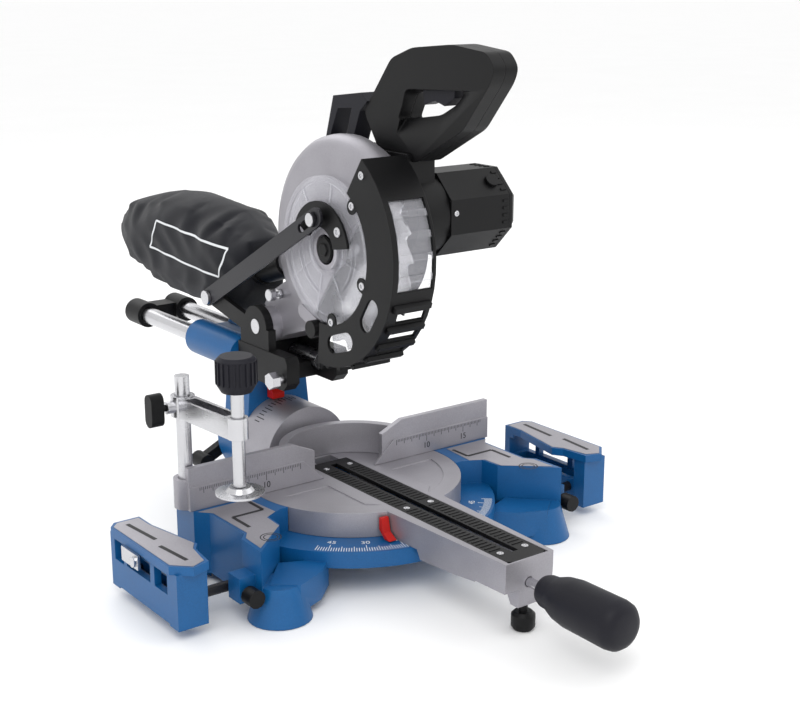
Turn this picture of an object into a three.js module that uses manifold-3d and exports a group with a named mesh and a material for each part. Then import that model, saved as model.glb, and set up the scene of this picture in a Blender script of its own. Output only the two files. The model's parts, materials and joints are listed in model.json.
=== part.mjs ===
// Benchtop sliding compound mitre saw, in millimetres, +Z up.
// While it is modelled, the origin is on the floor under the turntable's axis, +X is the user's right
// and +Y points to the rear. The tilting arm and all that it carries are drawn in a frame of their own,
// whose heights count from BEVEL_AXIS below the bevel axis, and that frame is set on the table.
// The exported group is then moved so that the origin is the centre of the bottom of the machine's box.

import * as THREE from "three";
import { mergeVertices } from "three/addons/utils/BufferGeometryUtils.js";
import Module from "manifold-3d";

const wasm = await Module();
wasm.setup();

// ---------------------------------------------------------------- driving dimensions

const GAP = 0.3; // between touching pieces that are fixed to each other
const RUNNING = 0.5; // radial clearance of a shaft or slide in its bore

const TABLE_HEIGHT = 70;
const TURNTABLE_RADIUS = 110;
const TURNTABLE_THICKNESS = 24.7;
const RING_RADIUS = 145; // the printed mitre scale's outer edge
const RING_THICKNESS = 16;

const TOWER_OUTER = 182; // half width of the fixed side tables
const TOWER_FRONT = -116;
const TOWER_REAR = 40;
const FOOT_RADIUS = 30;
const FOOT_HEIGHT = 34;

const FENCE_FACE = 6;
const FENCE_HALF = 185;
const FENCE_HEIGHT = 43;
const FENCE_WALL = 6;
const RULER_HEIGHT = 23.5;
const FENCE_GAP = 32; // half the gap that the blade passes through
const ARCH_RADIUS = 66;

const ARM_FRONT = -268;
const ARM_HALF = 28;
const KERF_TROUGH = 14; // half width of the trough under the insert
const INSERT_HALF = 23;
const INSERT_THICKNESS = 4;
const INSERT_NOSE = 4; // length of the insert's chamfered front end
const INSERT_FRONT = -262;
const INSERT_REAR = 46;
const KERF_HALF = 4;

const BEVEL_AXIS = 70; // height of the bevel axis in the upper works' own frame
const BEVEL_RADIUS = 50;
const BEVEL_FACE = 140; // where the tilting arm meets the turntable's bevel housing
const BEVEL_BOLT = 8;

const RAIL_RADIUS = 10;
const RAIL_SPACING = 51.6;
const RAIL_HEIGHT = 165;
const BARREL_RADIUS = 20;
const BARREL_FRONT = 164;
const BARREL_REAR = 262;
const RAIL_FRONT = 92;
const TIE_FRONT = 388;
const TIE_THICKNESS = 34;

const PIVOT = { y: 124, z: 206 };
const PIVOT_PIN = 8;
const EAR_RADIUS = 22;
const EAR_INNER = 28;
const BRACKET_HALF = 38;
const BRACKET_FRONT = 62;
const BRACKET_REAR = 158;

const BLADE_CENTRE = { y: 6, z: 305 };
const BLADE_RADIUS = 105;
const BLADE_THICKNESS = 2;
const BLADE_TEETH = 24;
const ARBOR_RADIUS = 8;
const GUARD_RADIUS = 110;
const GUARD_HALF = 17;
const GUARD_WALL = 3;
const GUARD_OPEN = 54; // degrees by which the upper guard's open side is tilted up at the front

const LINK_X = -41.5;
const LINK_THICKNESS = 3;
const LINK_REAR = { y: 215, z: 221 };
const LINK_PIN = { y: 6, z: 336 };

const MOTOR = { y: -38, z: 338 };
const MOTOR_RADIUS = 42;
const MOTOR_START = 62;
const MOTOR_END = 135;
const GEAR_MODULE = 2;
const GEAR_TEETH = 44;
const PINION_TEETH = 11;

const HANDLE_PLANE = 42; // the plane in which the two handle halves meet
const HANDLE_HALF = 14;
const HANDLE_ROUND = 6.5;
const HANDLE_HOLE_ROUND = 6;
const HANDLE_FLARE = 10; // depth of the flare round the finger hole, on each side

const CLAMP = { x: -180, y: 22 };
const CLAMP_POST_RADIUS = 7;
const CLAMP_ARM_HEIGHT = TABLE_HEIGHT + 92;
const CLAMP_REACH = 91;

// ---------------------------------------------------------------- finishes

const finish = (color, roughness, metalness) =>
  new THREE.MeshStandardMaterial({ color, roughness, metalness });
const BLUE = finish(0x0f5f9e, 0.45, 0.2);
const ALUMINIUM = finish(0xb9b7bd, 0.45, 0.8);
const STEEL = finish(0xd5d8da, 0.25, 1);
const BLACK = finish(0x17181a, 0.55, 0);
const DARK_STEEL = finish(0x2c2e31, 0.45, 0.7);
const RED = finish(0xc8281e, 0.4, 0);
const CLEAR = finish(0xdfe3ee, 0.1, 0);
CLEAR.transparent = true;
CLEAR.opacity = 0.5;
const FABRIC = finish(0x2f323b, 0.95, 0);
const GRIP = finish(0x3a3a47, 0.5, 0);

// ---------------------------------------------------------------- geometry helpers

// Turns geometry made along local Z so that it runs along the named axis.
// In a section for "x" the two coordinates are (y, z), for "y" they are (x, z), for "z" they are (x, y).
function alongAxis(geometry, axis) {
  const m = new THREE.Matrix4();
  if (axis === "x") m.set(0, 0, 1, 0, 1, 0, 0, 0, 0, 1, 0, 0, 0, 0, 0, 1);
  if (axis === "y") m.set(1, 0, 0, 0, 0, 0, -1, 0, 0, 1, 0, 0, 0, 0, 0, 1);
  return geometry.applyMatrix4(m);
}

// A prism of an outline (an array of points, or a THREE.Shape) between two places on an axis.
function prism(axis, outline, from, to, curveSegments = 12) {
  const shape = outline instanceof THREE.Shape ? outline : polygon(outline);
  const geometry = new THREE.ExtrudeGeometry(shape, { depth: to - from, bevelEnabled: false, curveSegments });
  geometry.translate(0, 0, axis === "y" ? -to : from);
  return alongAxis(geometry, axis);
}

function polygon(points) {
  return new THREE.Shape(points.map(([a, b]) => new THREE.Vector2(a, b)));
}

// A solid between two outlines in the (y, z) plane with the same number of points, at two places on X.
function tapered(outlineA, xA, outlineB, xB) {
  const flat = outlineA.map(([a, b]) => new THREE.Vector2(a, b));
  if (THREE.ShapeUtils.isClockWise(flat)) {
    return tapered([...outlineA].reverse(), xA, [...outlineB].reverse(), xB);
  }
  const count = outlineA.length;
  const corners = [...outlineA.map(([y, z]) => [xA, y, z]), ...outlineB.map(([y, z]) => [xB, y, z])];
  const faces = THREE.ShapeUtils.triangulateShape(flat, []).flatMap(([a, b, c]) => [
    [c, b, a],
    [a + count, b + count, c + count],
  ]);
  for (let i = 0; i < count; i += 1) {
    const next = (i + 1) % count;
    faces.push([i, next, next + count], [i, next + count, i + count]);
  }
  const geometry = new THREE.BufferGeometry();
  geometry.setAttribute("position", new THREE.Float32BufferAttribute(corners.flat(), 3));
  geometry.setIndex((xB > xA ? faces : faces.map((face) => face.reverse())).flat());
  return geometry;
}

// The span from near to far on the machine's right, or its mirror image on the left.
const span = (side, near, far) => (side > 0 ? [near, far] : [-far, -near]);

function box([x0, x1], [y0, y1], [z0, z1]) {
  const geometry = new THREE.BoxGeometry(x1 - x0, y1 - y0, z1 - z0);
  return geometry.translate((x0 + x1) / 2, (y0 + y1) / 2, (z0 + z1) / 2);
}

// Moves a piece made about a coordinate axis to where that axis really lies.
// The centre is (y, z) for "x", (x, z) for "y" and (x, y) for "z".
function placeAcross(geometry, axis, [a, b]) {
  if (axis === "x") return geometry.translate(0, a, b);
  if (axis === "y") return geometry.translate(a, 0, b);
  return geometry.translate(a, b, 0);
}

// A round bar, or a cone if the second radius is given.
function rod(axis, centre, from, to, radius, segments = 20, radiusAtEnd = radius) {
  const geometry = new THREE.CylinderGeometry(radiusAtEnd, radius, to - from, segments);
  geometry.translate(0, (from + to) / 2, 0);
  if (axis === "x") geometry.rotateZ(-Math.PI / 2);
  if (axis === "z") geometry.rotateX(Math.PI / 2);
  return placeAcross(geometry, axis, centre);
}

// A ring: a round bar with a bore.
function ring(axis, centre, from, to, outer, inner, segments = 28) {
  const bore = rod(axis, centre, from - 1, to + 1, inner, segments);
  return cut(rod(axis, centre, from, to, outer, segments), bore);
}

// A turned piece from [radius, place] pairs that start and end on the axis.
function turned(axis, centre, profile, segments = 24) {
  const points = profile.map(([r, h]) => new THREE.Vector2(r, h));
  const geometry = new THREE.LatheGeometry(points, segments);
  if (axis === "x") geometry.rotateZ(-Math.PI / 2);
  if (axis === "z") geometry.rotateX(Math.PI / 2);
  return placeAcross(geometry, axis, centre);
}

function toSolid(geometry) {
  const bare = new THREE.BufferGeometry();
  const flat = geometry.index ? geometry.toNonIndexed() : geometry;
  bare.setAttribute("position", flat.getAttribute("position").clone());
  const merged = mergeVertices(bare, 1e-4);
  const mesh = new wasm.Mesh({
    numProp: 3,
    vertProperties: merged.getAttribute("position").array,
    triVerts: Uint32Array.from(merged.index.array),
  });
  return new wasm.Manifold(mesh);
}

function toGeometry(solid) {
  const mesh = solid.getMesh();
  const geometry = new THREE.BufferGeometry();
  geometry.setAttribute("position", new THREE.BufferAttribute(mesh.vertProperties, 3));
  geometry.setIndex(new THREE.BufferAttribute(mesh.triVerts, 1));
  return geometry;
}

function join(...pieces) {
  return toGeometry(pieces.map(toSolid).reduce((whole, piece) => whole.add(piece)));
}

function cut(stock, ...tools) {
  return toGeometry(tools.map(toSolid).reduce((rest, tool) => rest.subtract(tool), toSolid(stock)));
}

function common(a, b) {
  return toGeometry(toSolid(a).intersect(toSolid(b)));
}

const mirrored = (points, side) => points.map(([a, b]) => [a * side, b]);
const radians = (degrees) => (degrees * Math.PI) / 180;

// A point at a radius and an angle from a centre. Angles count from the front (-Y) up and over to the rear.
function around(centre, radius, degrees) {
  return [centre.y - radius * Math.cos(radians(degrees)), centre.z + radius * Math.sin(radians(degrees))];
}

// A sector's outline between two radii, in the (y, z) plane.
function sector(centre, inner, outer, from, to, step = 7.5) {
  const count = Math.round((to - from) / step);
  const angles = Array.from({ length: count + 1 }, (_, i) => from + ((to - from) * i) / count);
  const outerArc = angles.map((angle) => around(centre, outer, angle));
  const innerArc = angles.map((angle) => around(centre, inner, angle)).reverse();
  return [...outerArc, ...innerArc];
}

// A bar with round ends between two points, in a section plane.
function link([a0, b0], [a1, b1], radius, steps = 8) {
  const heading = Math.atan2(b1 - b0, a1 - a0);
  const end = (a, b, start) =>
    Array.from({ length: steps + 1 }, (_, i) => {
      const angle = start + (Math.PI * i) / steps;
      return [a + radius * Math.cos(angle), b + radius * Math.sin(angle)];
    });
  return [...end(a1, b1, heading - Math.PI / 2), ...end(a0, b0, heading + Math.PI / 2)];
}

function part(name, geometry, material) {
  const flat = geometry.index ? geometry.toNonIndexed() : geometry;
  flat.computeVertexNormals();
  const mesh = new THREE.Mesh(flat, material);
  mesh.name = name;
  return mesh;
}

function body(name, ...children) {
  const group = new THREE.Group();
  group.name = name;
  group.add(...children);
  return group;
}

// ---------------------------------------------------------------- fixed base

const RING_TOP = TABLE_HEIGHT - TURNTABLE_THICKNESS - GAP;
const RING_BOTTOM = RING_TOP - RING_THICKNESS;
const HUB_BOLT = 6;
const BAR_HEIGHT = 26; // of the side extensions' rods
const BAR_RADIUS = 5;
const BAR_FRONT = -74;
const BAR_REAR = 8;
const BAR_INNER = 60; // how far in the rods reach
const BAR_END = 100;
const TOWER_WALL = 6;
const TOWER_STEP = 10.5; // how far a side table's outer edge is set in along its front part

function towerOutline(side) {
  const points = [
    [TOWER_OUTER, TOWER_REAR],
    [TOWER_OUTER, FENCE_FACE],
    [TOWER_OUTER - TOWER_STEP, FENCE_FACE - 12],
    [TOWER_OUTER - TOWER_STEP, -69.5],
    [TOWER_OUTER - 2, -79.3],
    [TOWER_OUTER, TOWER_FRONT],
    [134, -70.3],
    [132, -47.4],
    [112, -38],
    [88, -38],
    [88, 34],
    [126, 34],
    [140, TOWER_REAR],
  ];
  return mirrored(points, side);
}

// The hollows under a side table, open below, on both sides of a rib.
function towerPockets(side) {
  const inner = 134;
  const outer = TOWER_OUTER - TOWER_STEP - TOWER_WALL;
  const rib = -20;
  const hollows = [
    [-64, rib - TOWER_WALL / 2],
    [rib + TOWER_WALL / 2, TOWER_REAR - TOWER_WALL],
  ];
  return hollows.map((hollow) => box(span(side, inner, outer), hollow, [-1, TABLE_HEIGHT - TOWER_WALL]));
}

function baseFoot(side, x, y, radius, height) {
  return rod("z", [side * x, y], 0, height, radius, 28, radius * 0.66);
}

// The slanted wall that runs from the scale ring out to a front foot.
function footBrace(side) {
  const points = [
    [96, -95],
    [140, -76],
    [172, -112],
    [150, -130],
    [120, -118],
  ];
  return prism("z", mirrored(points, side), 8, RING_BOTTOM + 6);
}

function lockBoss(side) {
  return box(span(side, TOWER_OUTER - 4, TOWER_OUTER + 16), [-104, -84], [20, 44]);
}

const lockX = (side) => side * (TOWER_OUTER + 10);
const LOCK_Z = 30;

function baseCasting() {
  const floor = 8;
  const frontRing = common(
    rod("z", [0, 0], RING_BOTTOM, RING_TOP, RING_RADIUS, 60),
    box([-200, 200], [-200, 0], [0, 100]),
  );
  const rearRing = rod("z", [0, 0], RING_BOTTOM, RING_TOP, TURNTABLE_RADIUS + 8, 48);
  const pieces = [frontRing, rearRing];
  for (const side of [-1, 1]) {
    pieces.push(prism("z", towerOutline(side), floor, TABLE_HEIGHT));
    pieces.push(baseFoot(side, 160, -110, FOOT_RADIUS, FOOT_HEIGHT));
    pieces.push(baseFoot(side, 152, 22, 22, floor + 4));
    pieces.push(footBrace(side));
    pieces.push(lockBoss(side));
  }
  const spokes = [0, 45, 90, 135].map((angle) =>
    box([-96, 96], [-8, 8], [RING_BOTTOM, RING_TOP]).rotateZ(radians(angle)),
  );
  const well = rod("z", [0, 0], RING_BOTTOM - 1, RING_TOP + 1, 92, 48);
  const cage = cut(join(...pieces), well);
  const hub = rod("z", [0, 0], RING_BOTTOM, RING_TOP, 24, 32);
  const cuts = [
    rod("z", [0, 0], RING_TOP, TABLE_HEIGHT + 1, TURNTABLE_RADIUS + 0.6, 60),
    rod("z", [0, 0], 0, TABLE_HEIGHT, HUB_BOLT + RUNNING, 24),
  ];
  for (const side of [-1, 1]) {
    cuts.push(...towerPockets(side));
    cuts.push(rod("z", [side * 160, -118], -1, 12, 4.5, 16));
    for (const y of [BAR_FRONT, BAR_REAR]) {
      const reach = span(side, BAR_INNER, TOWER_OUTER + 20);
      cuts.push(rod("x", [y, BAR_HEIGHT], ...reach, BAR_RADIUS + RUNNING, 16));
    }
    cuts.push(rod("y", [lockX(side), LOCK_Z], -110, -80, 3 + RUNNING, 16));
  }
  return cut(join(cage, hub, ...spokes), ...cuts);
}

// One half of the fence: the tall wall, and the ruler strip that stands proud below it.
function fenceHalf(side) {
  const top = TABLE_HEIGHT + FENCE_HEIGHT;
  const bottom = TABLE_HEIGHT + GAP;
  const stripTop = TABLE_HEIGHT + RULER_HEIGHT;
  const wall = mirrored(
    [
      [FENCE_GAP + 30, bottom],
      [FENCE_HALF, bottom],
      [FENCE_HALF, top],
      [FENCE_GAP + 36, top],
      [FENCE_GAP + 10, stripTop + 8],
      [FENCE_GAP + 10, bottom],
    ],
    side,
  );
  const strip = mirrored(
    [
      [FENCE_GAP, bottom],
      [FENCE_HALF, bottom],
      [FENCE_HALF, stripTop],
      [FENCE_GAP + 24, stripTop],
    ],
    side,
  );
  return [
    prism("y", wall, FENCE_FACE + 1.5, FENCE_FACE + 1.5 + FENCE_WALL),
    prism("y", strip, FENCE_FACE, FENCE_FACE + 3),
  ];
}

// The bowed bridge that joins the two halves behind the blade.
function fenceArch() {
  const start = 8;
  const shape = new THREE.Shape();
  shape.absarc(0, 0, ARCH_RADIUS + 9, radians(start), radians(180 - start), false);
  shape.absarc(0, 0, ARCH_RADIUS, radians(180 - start), radians(start), true);
  return prism("z", shape, TABLE_HEIGHT + GAP, TABLE_HEIGHT + FENCE_HEIGHT - 10, 28);
}

function fence() {
  const bottom = TABLE_HEIGHT + GAP;
  const bosses = [-1, 1].flatMap((side) => [
    rod("z", [side * -CLAMP.x, CLAMP.y], bottom, TABLE_HEIGHT + 30, 12, 28),
    box(span(side, -CLAMP.x - 30, -CLAMP.x), [FENCE_FACE + 5, CLAMP.y + 10], [bottom, TABLE_HEIGHT + 8]),
  ]);
  const whole = join(...fenceHalf(-1), ...fenceHalf(1), fenceArch(), ...bosses);
  const bores = [-1, 1].map((side) =>
    rod("z", [side * -CLAMP.x, CLAMP.y], bottom + 5, TABLE_HEIGHT + 60, CLAMP_POST_RADIUS + RUNNING, 24),
  );
  return cut(whole, ...bores);
}

// Bolt on the turntable's axis: its head is under the base and its nut is inside the turntable.
function mitrePivotBolt() {
  const profile = [
    [0, RING_BOTTOM - 6],
    [11, RING_BOTTOM - 6],
    [11, RING_BOTTOM - GAP],
    [HUB_BOLT, RING_BOTTOM - GAP],
    [HUB_BOLT, RING_TOP + 8],
    [0, RING_TOP + 8],
  ];
  return turned("z", [0, 0], profile, 24);
}

function extensionLock(side) {
  const knob = rod("y", [lockX(side), LOCK_Z], -124, -110, 8.5, 12);
  const shaft = rod("y", [lockX(side), LOCK_Z], -111, -82, 3, 12);
  return join(knob, shaft);
}

// ---------------------------------------------------------------- turntable

function armPlate() {
  const bottom = TABLE_HEIGHT - TURNTABLE_THICKNESS;
  const profile = [
    [-60, bottom],
    [-RING_RADIUS - 3, bottom],
    [-RING_RADIUS - 8, bottom - 9],
    [-200, bottom - 7],
    [ARM_FRONT + 22, bottom - 3],
    [ARM_FRONT + 12, 24],
    [ARM_FRONT + 2, 24],
    [ARM_FRONT, bottom + 10],
    [ARM_FRONT, TABLE_HEIGHT],
    [-60, TABLE_HEIGHT],
  ];
  const side = prism("x", profile, -44, 44);
  const plan = [
    [-38, -60],
    [-34, -110],
    [-ARM_HALF, ARM_FRONT],
    [ARM_HALF, ARM_FRONT],
    [34, -110],
    [38, -60],
  ];
  return common(side, prism("z", plan, 0, TABLE_HEIGHT + 1));
}

// The leg at the arm's front end is narrower than the arm.
function armLegRelief(side) {
  return box(span(side, 11, 60), [ARM_FRONT - 1, ARM_FRONT + 40], [0, TABLE_HEIGHT - 28]);
}

function turntable() {
  const bottom = TABLE_HEIGHT - TURNTABLE_THICKNESS;
  const disc = rod("z", [0, 0], bottom, TABLE_HEIGHT, TURNTABLE_RADIUS, 60);
  const neck = box([-44, 44], [70, BEVEL_FACE - 20], [bottom + 2, TABLE_HEIGHT]);
  const housing = cut(
    rod("y", [0, TABLE_HEIGHT], 84, BEVEL_FACE, BEVEL_RADIUS, 56),
    box([-60, 60], [80, 150], [0, bottom + 2]),
  );
  const underside = ring("z", [0, 0], bottom - 1, TABLE_HEIGHT - 8, 96, 30, 48);
  const trough = box([-KERF_TROUGH, KERF_TROUGH], [ARM_FRONT + 24, 62], [0, TABLE_HEIGHT + 1]);
  const hubBar = box([-KERF_TROUGH - 1, KERF_TROUGH + 1], [-14, 14], [bottom, bottom + 9]);
  const seat = box(
    [-INSERT_HALF - GAP, INSERT_HALF + GAP],
    [INSERT_FRONT - INSERT_NOSE - GAP, INSERT_REAR + GAP],
    [TABLE_HEIGHT - INSERT_THICKNESS - GAP, TABLE_HEIGHT + 1],
  );
  const pockets = [-1, 1].map((side) => recess(side));
  const rough = cut(join(disc, neck), underside);
  const whole = join(rough, armPlate(), housing);
  const shaped = cut(whole, trough, seat, armLegRelief(-1), armLegRelief(1), ...pockets);
  return cut(
    join(shaped, hubBar),
    rod("z", [0, 0], 0, bottom + 20, HUB_BOLT + RUNNING, 24),
    rod("y", [0, TABLE_HEIGHT], BEVEL_BORE, BEVEL_FACE + 1, BEVEL_BOLT + GAP, 24),
    rod("z", [0, LEG_Y], 0, 50, FOOT_STUD + RUNNING, 16),
    rod("y", [0, LOCK_AXIS], ARM_FRONT - 1, ARM_FRONT + 40, LOCK_SHAFT + RUNNING, 16),
    box([-16, 16], [ARM_FRONT + 8, ARM_FRONT + 26], [bottom - 2, TABLE_HEIGHT - 9]),
  );
}

// The shallow recess in the turntable's top on each side of the insert.
function recess(side) {
  const steps = 16;
  const angles = Array.from({ length: steps + 1 }, (_, i) => radians(-72 + (64 * i) / steps));
  const arc = angles.map((angle) => [92 * Math.cos(angle), 92 * Math.sin(angle)]);
  return prism("z", mirrored([...arc, [40, -13], [40, -75]], side), TABLE_HEIGHT - 1, TABLE_HEIGHT + 1);
}

function tableInsert() {
  const plan = [
    [-INSERT_HALF, INSERT_REAR],
    [-INSERT_HALF, INSERT_FRONT],
    [-INSERT_HALF + 6, INSERT_FRONT - INSERT_NOSE],
    [INSERT_HALF - 6, INSERT_FRONT - INSERT_NOSE],
    [INSERT_HALF, INSERT_FRONT],
    [INSERT_HALF, INSERT_REAR],
  ];
  const plate = prism("z", plan, TABLE_HEIGHT - INSERT_THICKNESS, TABLE_HEIGHT - 0.2);
  return cut(plate, box([-KERF_HALF, KERF_HALF], [INSERT_FRONT + 14, INSERT_REAR - 10], [0, 100]));
}

const LEG_Y = ARM_FRONT + 7;
const FOOT_STUD = 4;
const LOCK_AXIS = TABLE_HEIGHT - 23;
const LOCK_SHAFT = 4.5;

function adjustableFoot() {
  const profile = [
    [0, 0],
    [9, 0],
    [11, 3],
    [11, 14],
    [8, 17],
    [FOOT_STUD, 17],
    [FOOT_STUD, 37],
    [0, 37],
  ];
  return turned("z", [0, LEG_Y], profile, 24);
}

function lockSpindle() {
  return rod("y", [0, LOCK_AXIS], -292, ARM_FRONT + 24, LOCK_SHAFT, 16);
}

function lockGrip() {
  const profile = [
    [0, -386],
    [13, -385.5],
    [18, -383.5],
    [21.5, -379],
    [22.5, -373],
    [22, -325],
    [20, -312],
    [17, -304],
    [15.5, -300],
    [15, -293],
    [13, -288],
    [LOCK_SHAFT + GAP, -288],
    [LOCK_SHAFT + GAP, -292 - GAP],
    [0, -292 - GAP],
  ];
  return turned("y", [0, LOCK_AXIS], profile, 32);
}

function mitrePointer() {
  const outline = [
    [-104.5, TABLE_HEIGHT - 4],
    [-108, TABLE_HEIGHT - 4],
    [-111, RING_TOP + 7],
    [-121, RING_TOP + 1.5],
    [-113, RING_TOP + 1.5],
    [-104.5, RING_TOP + 9],
  ];
  return prism("x", outline, -44, -35.5);
}

// ---------------------------------------------------------------- side extensions

const EXT_INNER = 229;
const EXT_OUTER = 262;
const EXT_FRONT = -104;
const EXT_REAR = 26;

function extensionFrame(side) {
  const top = TABLE_HEIGHT;
  const plan = [
    [EXT_INNER, EXT_REAR],
    [EXT_OUTER - 7, EXT_REAR],
    [EXT_OUTER, EXT_REAR - 8],
    [EXT_OUTER, EXT_FRONT + 10],
    [EXT_OUTER - 16, EXT_FRONT - 6],
    [EXT_INNER - 1, EXT_FRONT],
    [EXT_INNER - 5, EXT_FRONT + 30],
    [EXT_INNER - 12, EXT_FRONT + 40],
    [EXT_INNER, EXT_FRONT + 104],
  ];
  const table = prism("z", mirrored(plan, side), top - 8, top);
  const outside = EXT_OUTER - 3;
  const wall = box(span(side, EXT_OUTER - 10, outside), [EXT_FRONT + 6, EXT_REAR], [12, top - 7]);
  const legs = [
    box(span(side, EXT_INNER, outside), [EXT_FRONT + 2, EXT_FRONT + 18], [10, top - 7]),
    box(span(side, EXT_INNER, outside), [EXT_REAR - 14, EXT_REAR], [10, top - 7]),
    box(span(side, EXT_INNER + 4, outside), [BAR_FRONT - 9, BAR_REAR + 9], [12, 36]),
  ];
  const windows = [
    [EXT_REAR - 26, EXT_REAR - 8, 38, top - 12],
    [-52, -6, 39, top - 12],
    [EXT_FRONT + 20, EXT_FRONT + 44, 39, top - 12],
  ].map(([y0, y1, z0, z1]) => box(span(side, 200, 300), [y0, y1], [z0, z1]));
  const fit = BAR_RADIUS + GAP;
  const bores = [BAR_FRONT, BAR_REAR].map((y) =>
    rod("x", [y, BAR_HEIGHT], ...span(side, EXT_INNER - 20, EXT_OUTER - 18), fit, 16),
  );
  const crossing = box(
    span(side, EXT_OUTER - 24, EXT_OUTER - 12),
    [BAR_FRONT - fit, BAR_REAR + fit],
    [BAR_HEIGHT - fit, top - 10],
  );
  return cut(join(table, wall, ...legs), ...windows, ...bores, crossing);
}

// The two rods of one extension and the bar that joins them are one bent steel rod.
function extensionRod(side) {
  const outer = EXT_OUTER - 18;
  const legs = [BAR_FRONT, BAR_REAR].map((y) =>
    rod("x", [y, BAR_HEIGHT], ...span(side, BAR_END, outer), BAR_RADIUS, 12),
  );
  const bar = rod("y", [side * outer, BAR_HEIGHT], BAR_FRONT - 3, BAR_REAR + 3, BAR_RADIUS - 0.5, 12);
  return join(...legs, bar);
}

const CLIP_SCREW = { y: -35, z: TABLE_HEIGHT - 15 };

function stopClip(side) {
  const x0 = EXT_OUTER + GAP;
  const { y, z } = CLIP_SCREW;
  const plate = box(span(side, x0, x0 + 3), [y - 6, y + 26], [z - 7, z + 7]);
  const screw = rod("x", [y, z], ...span(side, x0 + 2, x0 + 6), 5, 12);
  return join(plate, screw);
}

// ---------------------------------------------------------------- hold-down clamp

const CLAMP_PAD_Z = TABLE_HEIGHT + 40;
const CLAMP_POST_TOP = TABLE_HEIGHT + 131;
const SPINDLE_TOP = TABLE_HEIGHT + 136;

function clampPost() {
  const bottom = TABLE_HEIGHT + 5 + 2 * GAP;
  return rod("z", [CLAMP.x, CLAMP.y], bottom, CLAMP_POST_TOP, CLAMP_POST_RADIUS, 24);
}

const CLAMP_ARM_TOP = CLAMP_ARM_HEIGHT + 20;
const SPINDLE = { x: CLAMP.x + 6, y: CLAMP.y - CLAMP_REACH };
const SPINDLE_RADIUS = 6;

function clampArm() {
  const sleeve = rod("z", [CLAMP.x, CLAMP.y], CLAMP_ARM_HEIGHT, CLAMP_ARM_TOP, CLAMP_POST_RADIUS + 4.5, 28);
  const nut = rod("z", [SPINDLE.x, SPINDLE.y], CLAMP_ARM_HEIGHT, CLAMP_ARM_TOP, SPINDLE_RADIUS + 3.5, 28);
  const half = 9;
  const plan = [
    [CLAMP.x - half, CLAMP.y],
    [SPINDLE.x - half, SPINDLE.y],
    [SPINDLE.x + half, SPINDLE.y],
    [CLAMP.x + half, CLAMP.y],
  ];
  const beam = prism("z", plan, CLAMP_ARM_HEIGHT, CLAMP_ARM_TOP - 1);
  const inside = [
    [CLAMP.x - half + 3, CLAMP.y - 14],
    [SPINDLE.x - half + 3, SPINDLE.y + 12],
    [SPINDLE.x + half - 3, SPINDLE.y + 12],
    [CLAMP.x + half - 3, CLAMP.y - 14],
  ];
  const boss = rod("x", [CLAMP.y, CLAMP_ARM_HEIGHT + 10], CLAMP.x - 18, CLAMP.x, 6, 16);
  return cut(
    join(sleeve, nut, beam, boss),
    prism("z", inside, CLAMP_ARM_HEIGHT + 3, CLAMP_ARM_TOP + 1),
    rod("z", [CLAMP.x, CLAMP.y], CLAMP_ARM_HEIGHT - 1, CLAMP_ARM_TOP + 1, CLAMP_POST_RADIUS + RUNNING, 24),
    rod("z", [SPINDLE.x, SPINDLE.y], CLAMP_ARM_HEIGHT - 1, CLAMP_ARM_TOP + 1, SPINDLE_RADIUS + RUNNING, 24),
    rod("x", [CLAMP.y, CLAMP_ARM_HEIGHT + 10], CLAMP.x - 30, CLAMP.x, 3 + RUNNING, 16),
  );
}

function clampWingScrew() {
  const z = CLAMP_ARM_HEIGHT + 10;
  const shaft = rod("x", [CLAMP.y, z], CLAMP.x - 24, CLAMP.x - CLAMP_POST_RADIUS - GAP, 3, 12);
  const wing = prism("x", link([CLAMP.y, z - 9], [CLAMP.y, z + 9], 7), CLAMP.x - 36, CLAMP.x - 23);
  return join(shaft, wing);
}

function clampSpindle() {
  return rod("z", [SPINDLE.x, SPINDLE.y], CLAMP_PAD_Z + 7, SPINDLE_TOP, SPINDLE_RADIUS, 20);
}

function clampKnob() {
  const profile = [
    [0, SPINDLE_TOP + GAP],
    [14, SPINDLE_TOP + GAP],
    [18, SPINDLE_TOP + 7],
    [18, SPINDLE_TOP + 30],
    [15, SPINDLE_TOP + 33],
    [0, SPINDLE_TOP + 33],
  ];
  return turned("z", [SPINDLE.x, SPINDLE.y], profile, 20);
}

function clampPad() {
  const profile = [
    [0, CLAMP_PAD_Z],
    [22.5, CLAMP_PAD_Z],
    [22.5, CLAMP_PAD_Z + 2],
    [13, CLAMP_PAD_Z + 2.5],
    [10, CLAMP_PAD_Z + 6.5],
    [0, CLAMP_PAD_Z + 6.5],
  ];
  return turned("z", [SPINDLE.x, SPINDLE.y], profile, 36);
}

// ---------------------------------------------------------------- tilting arm

const RAIL_X = RAIL_SPACING / 2;

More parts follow.
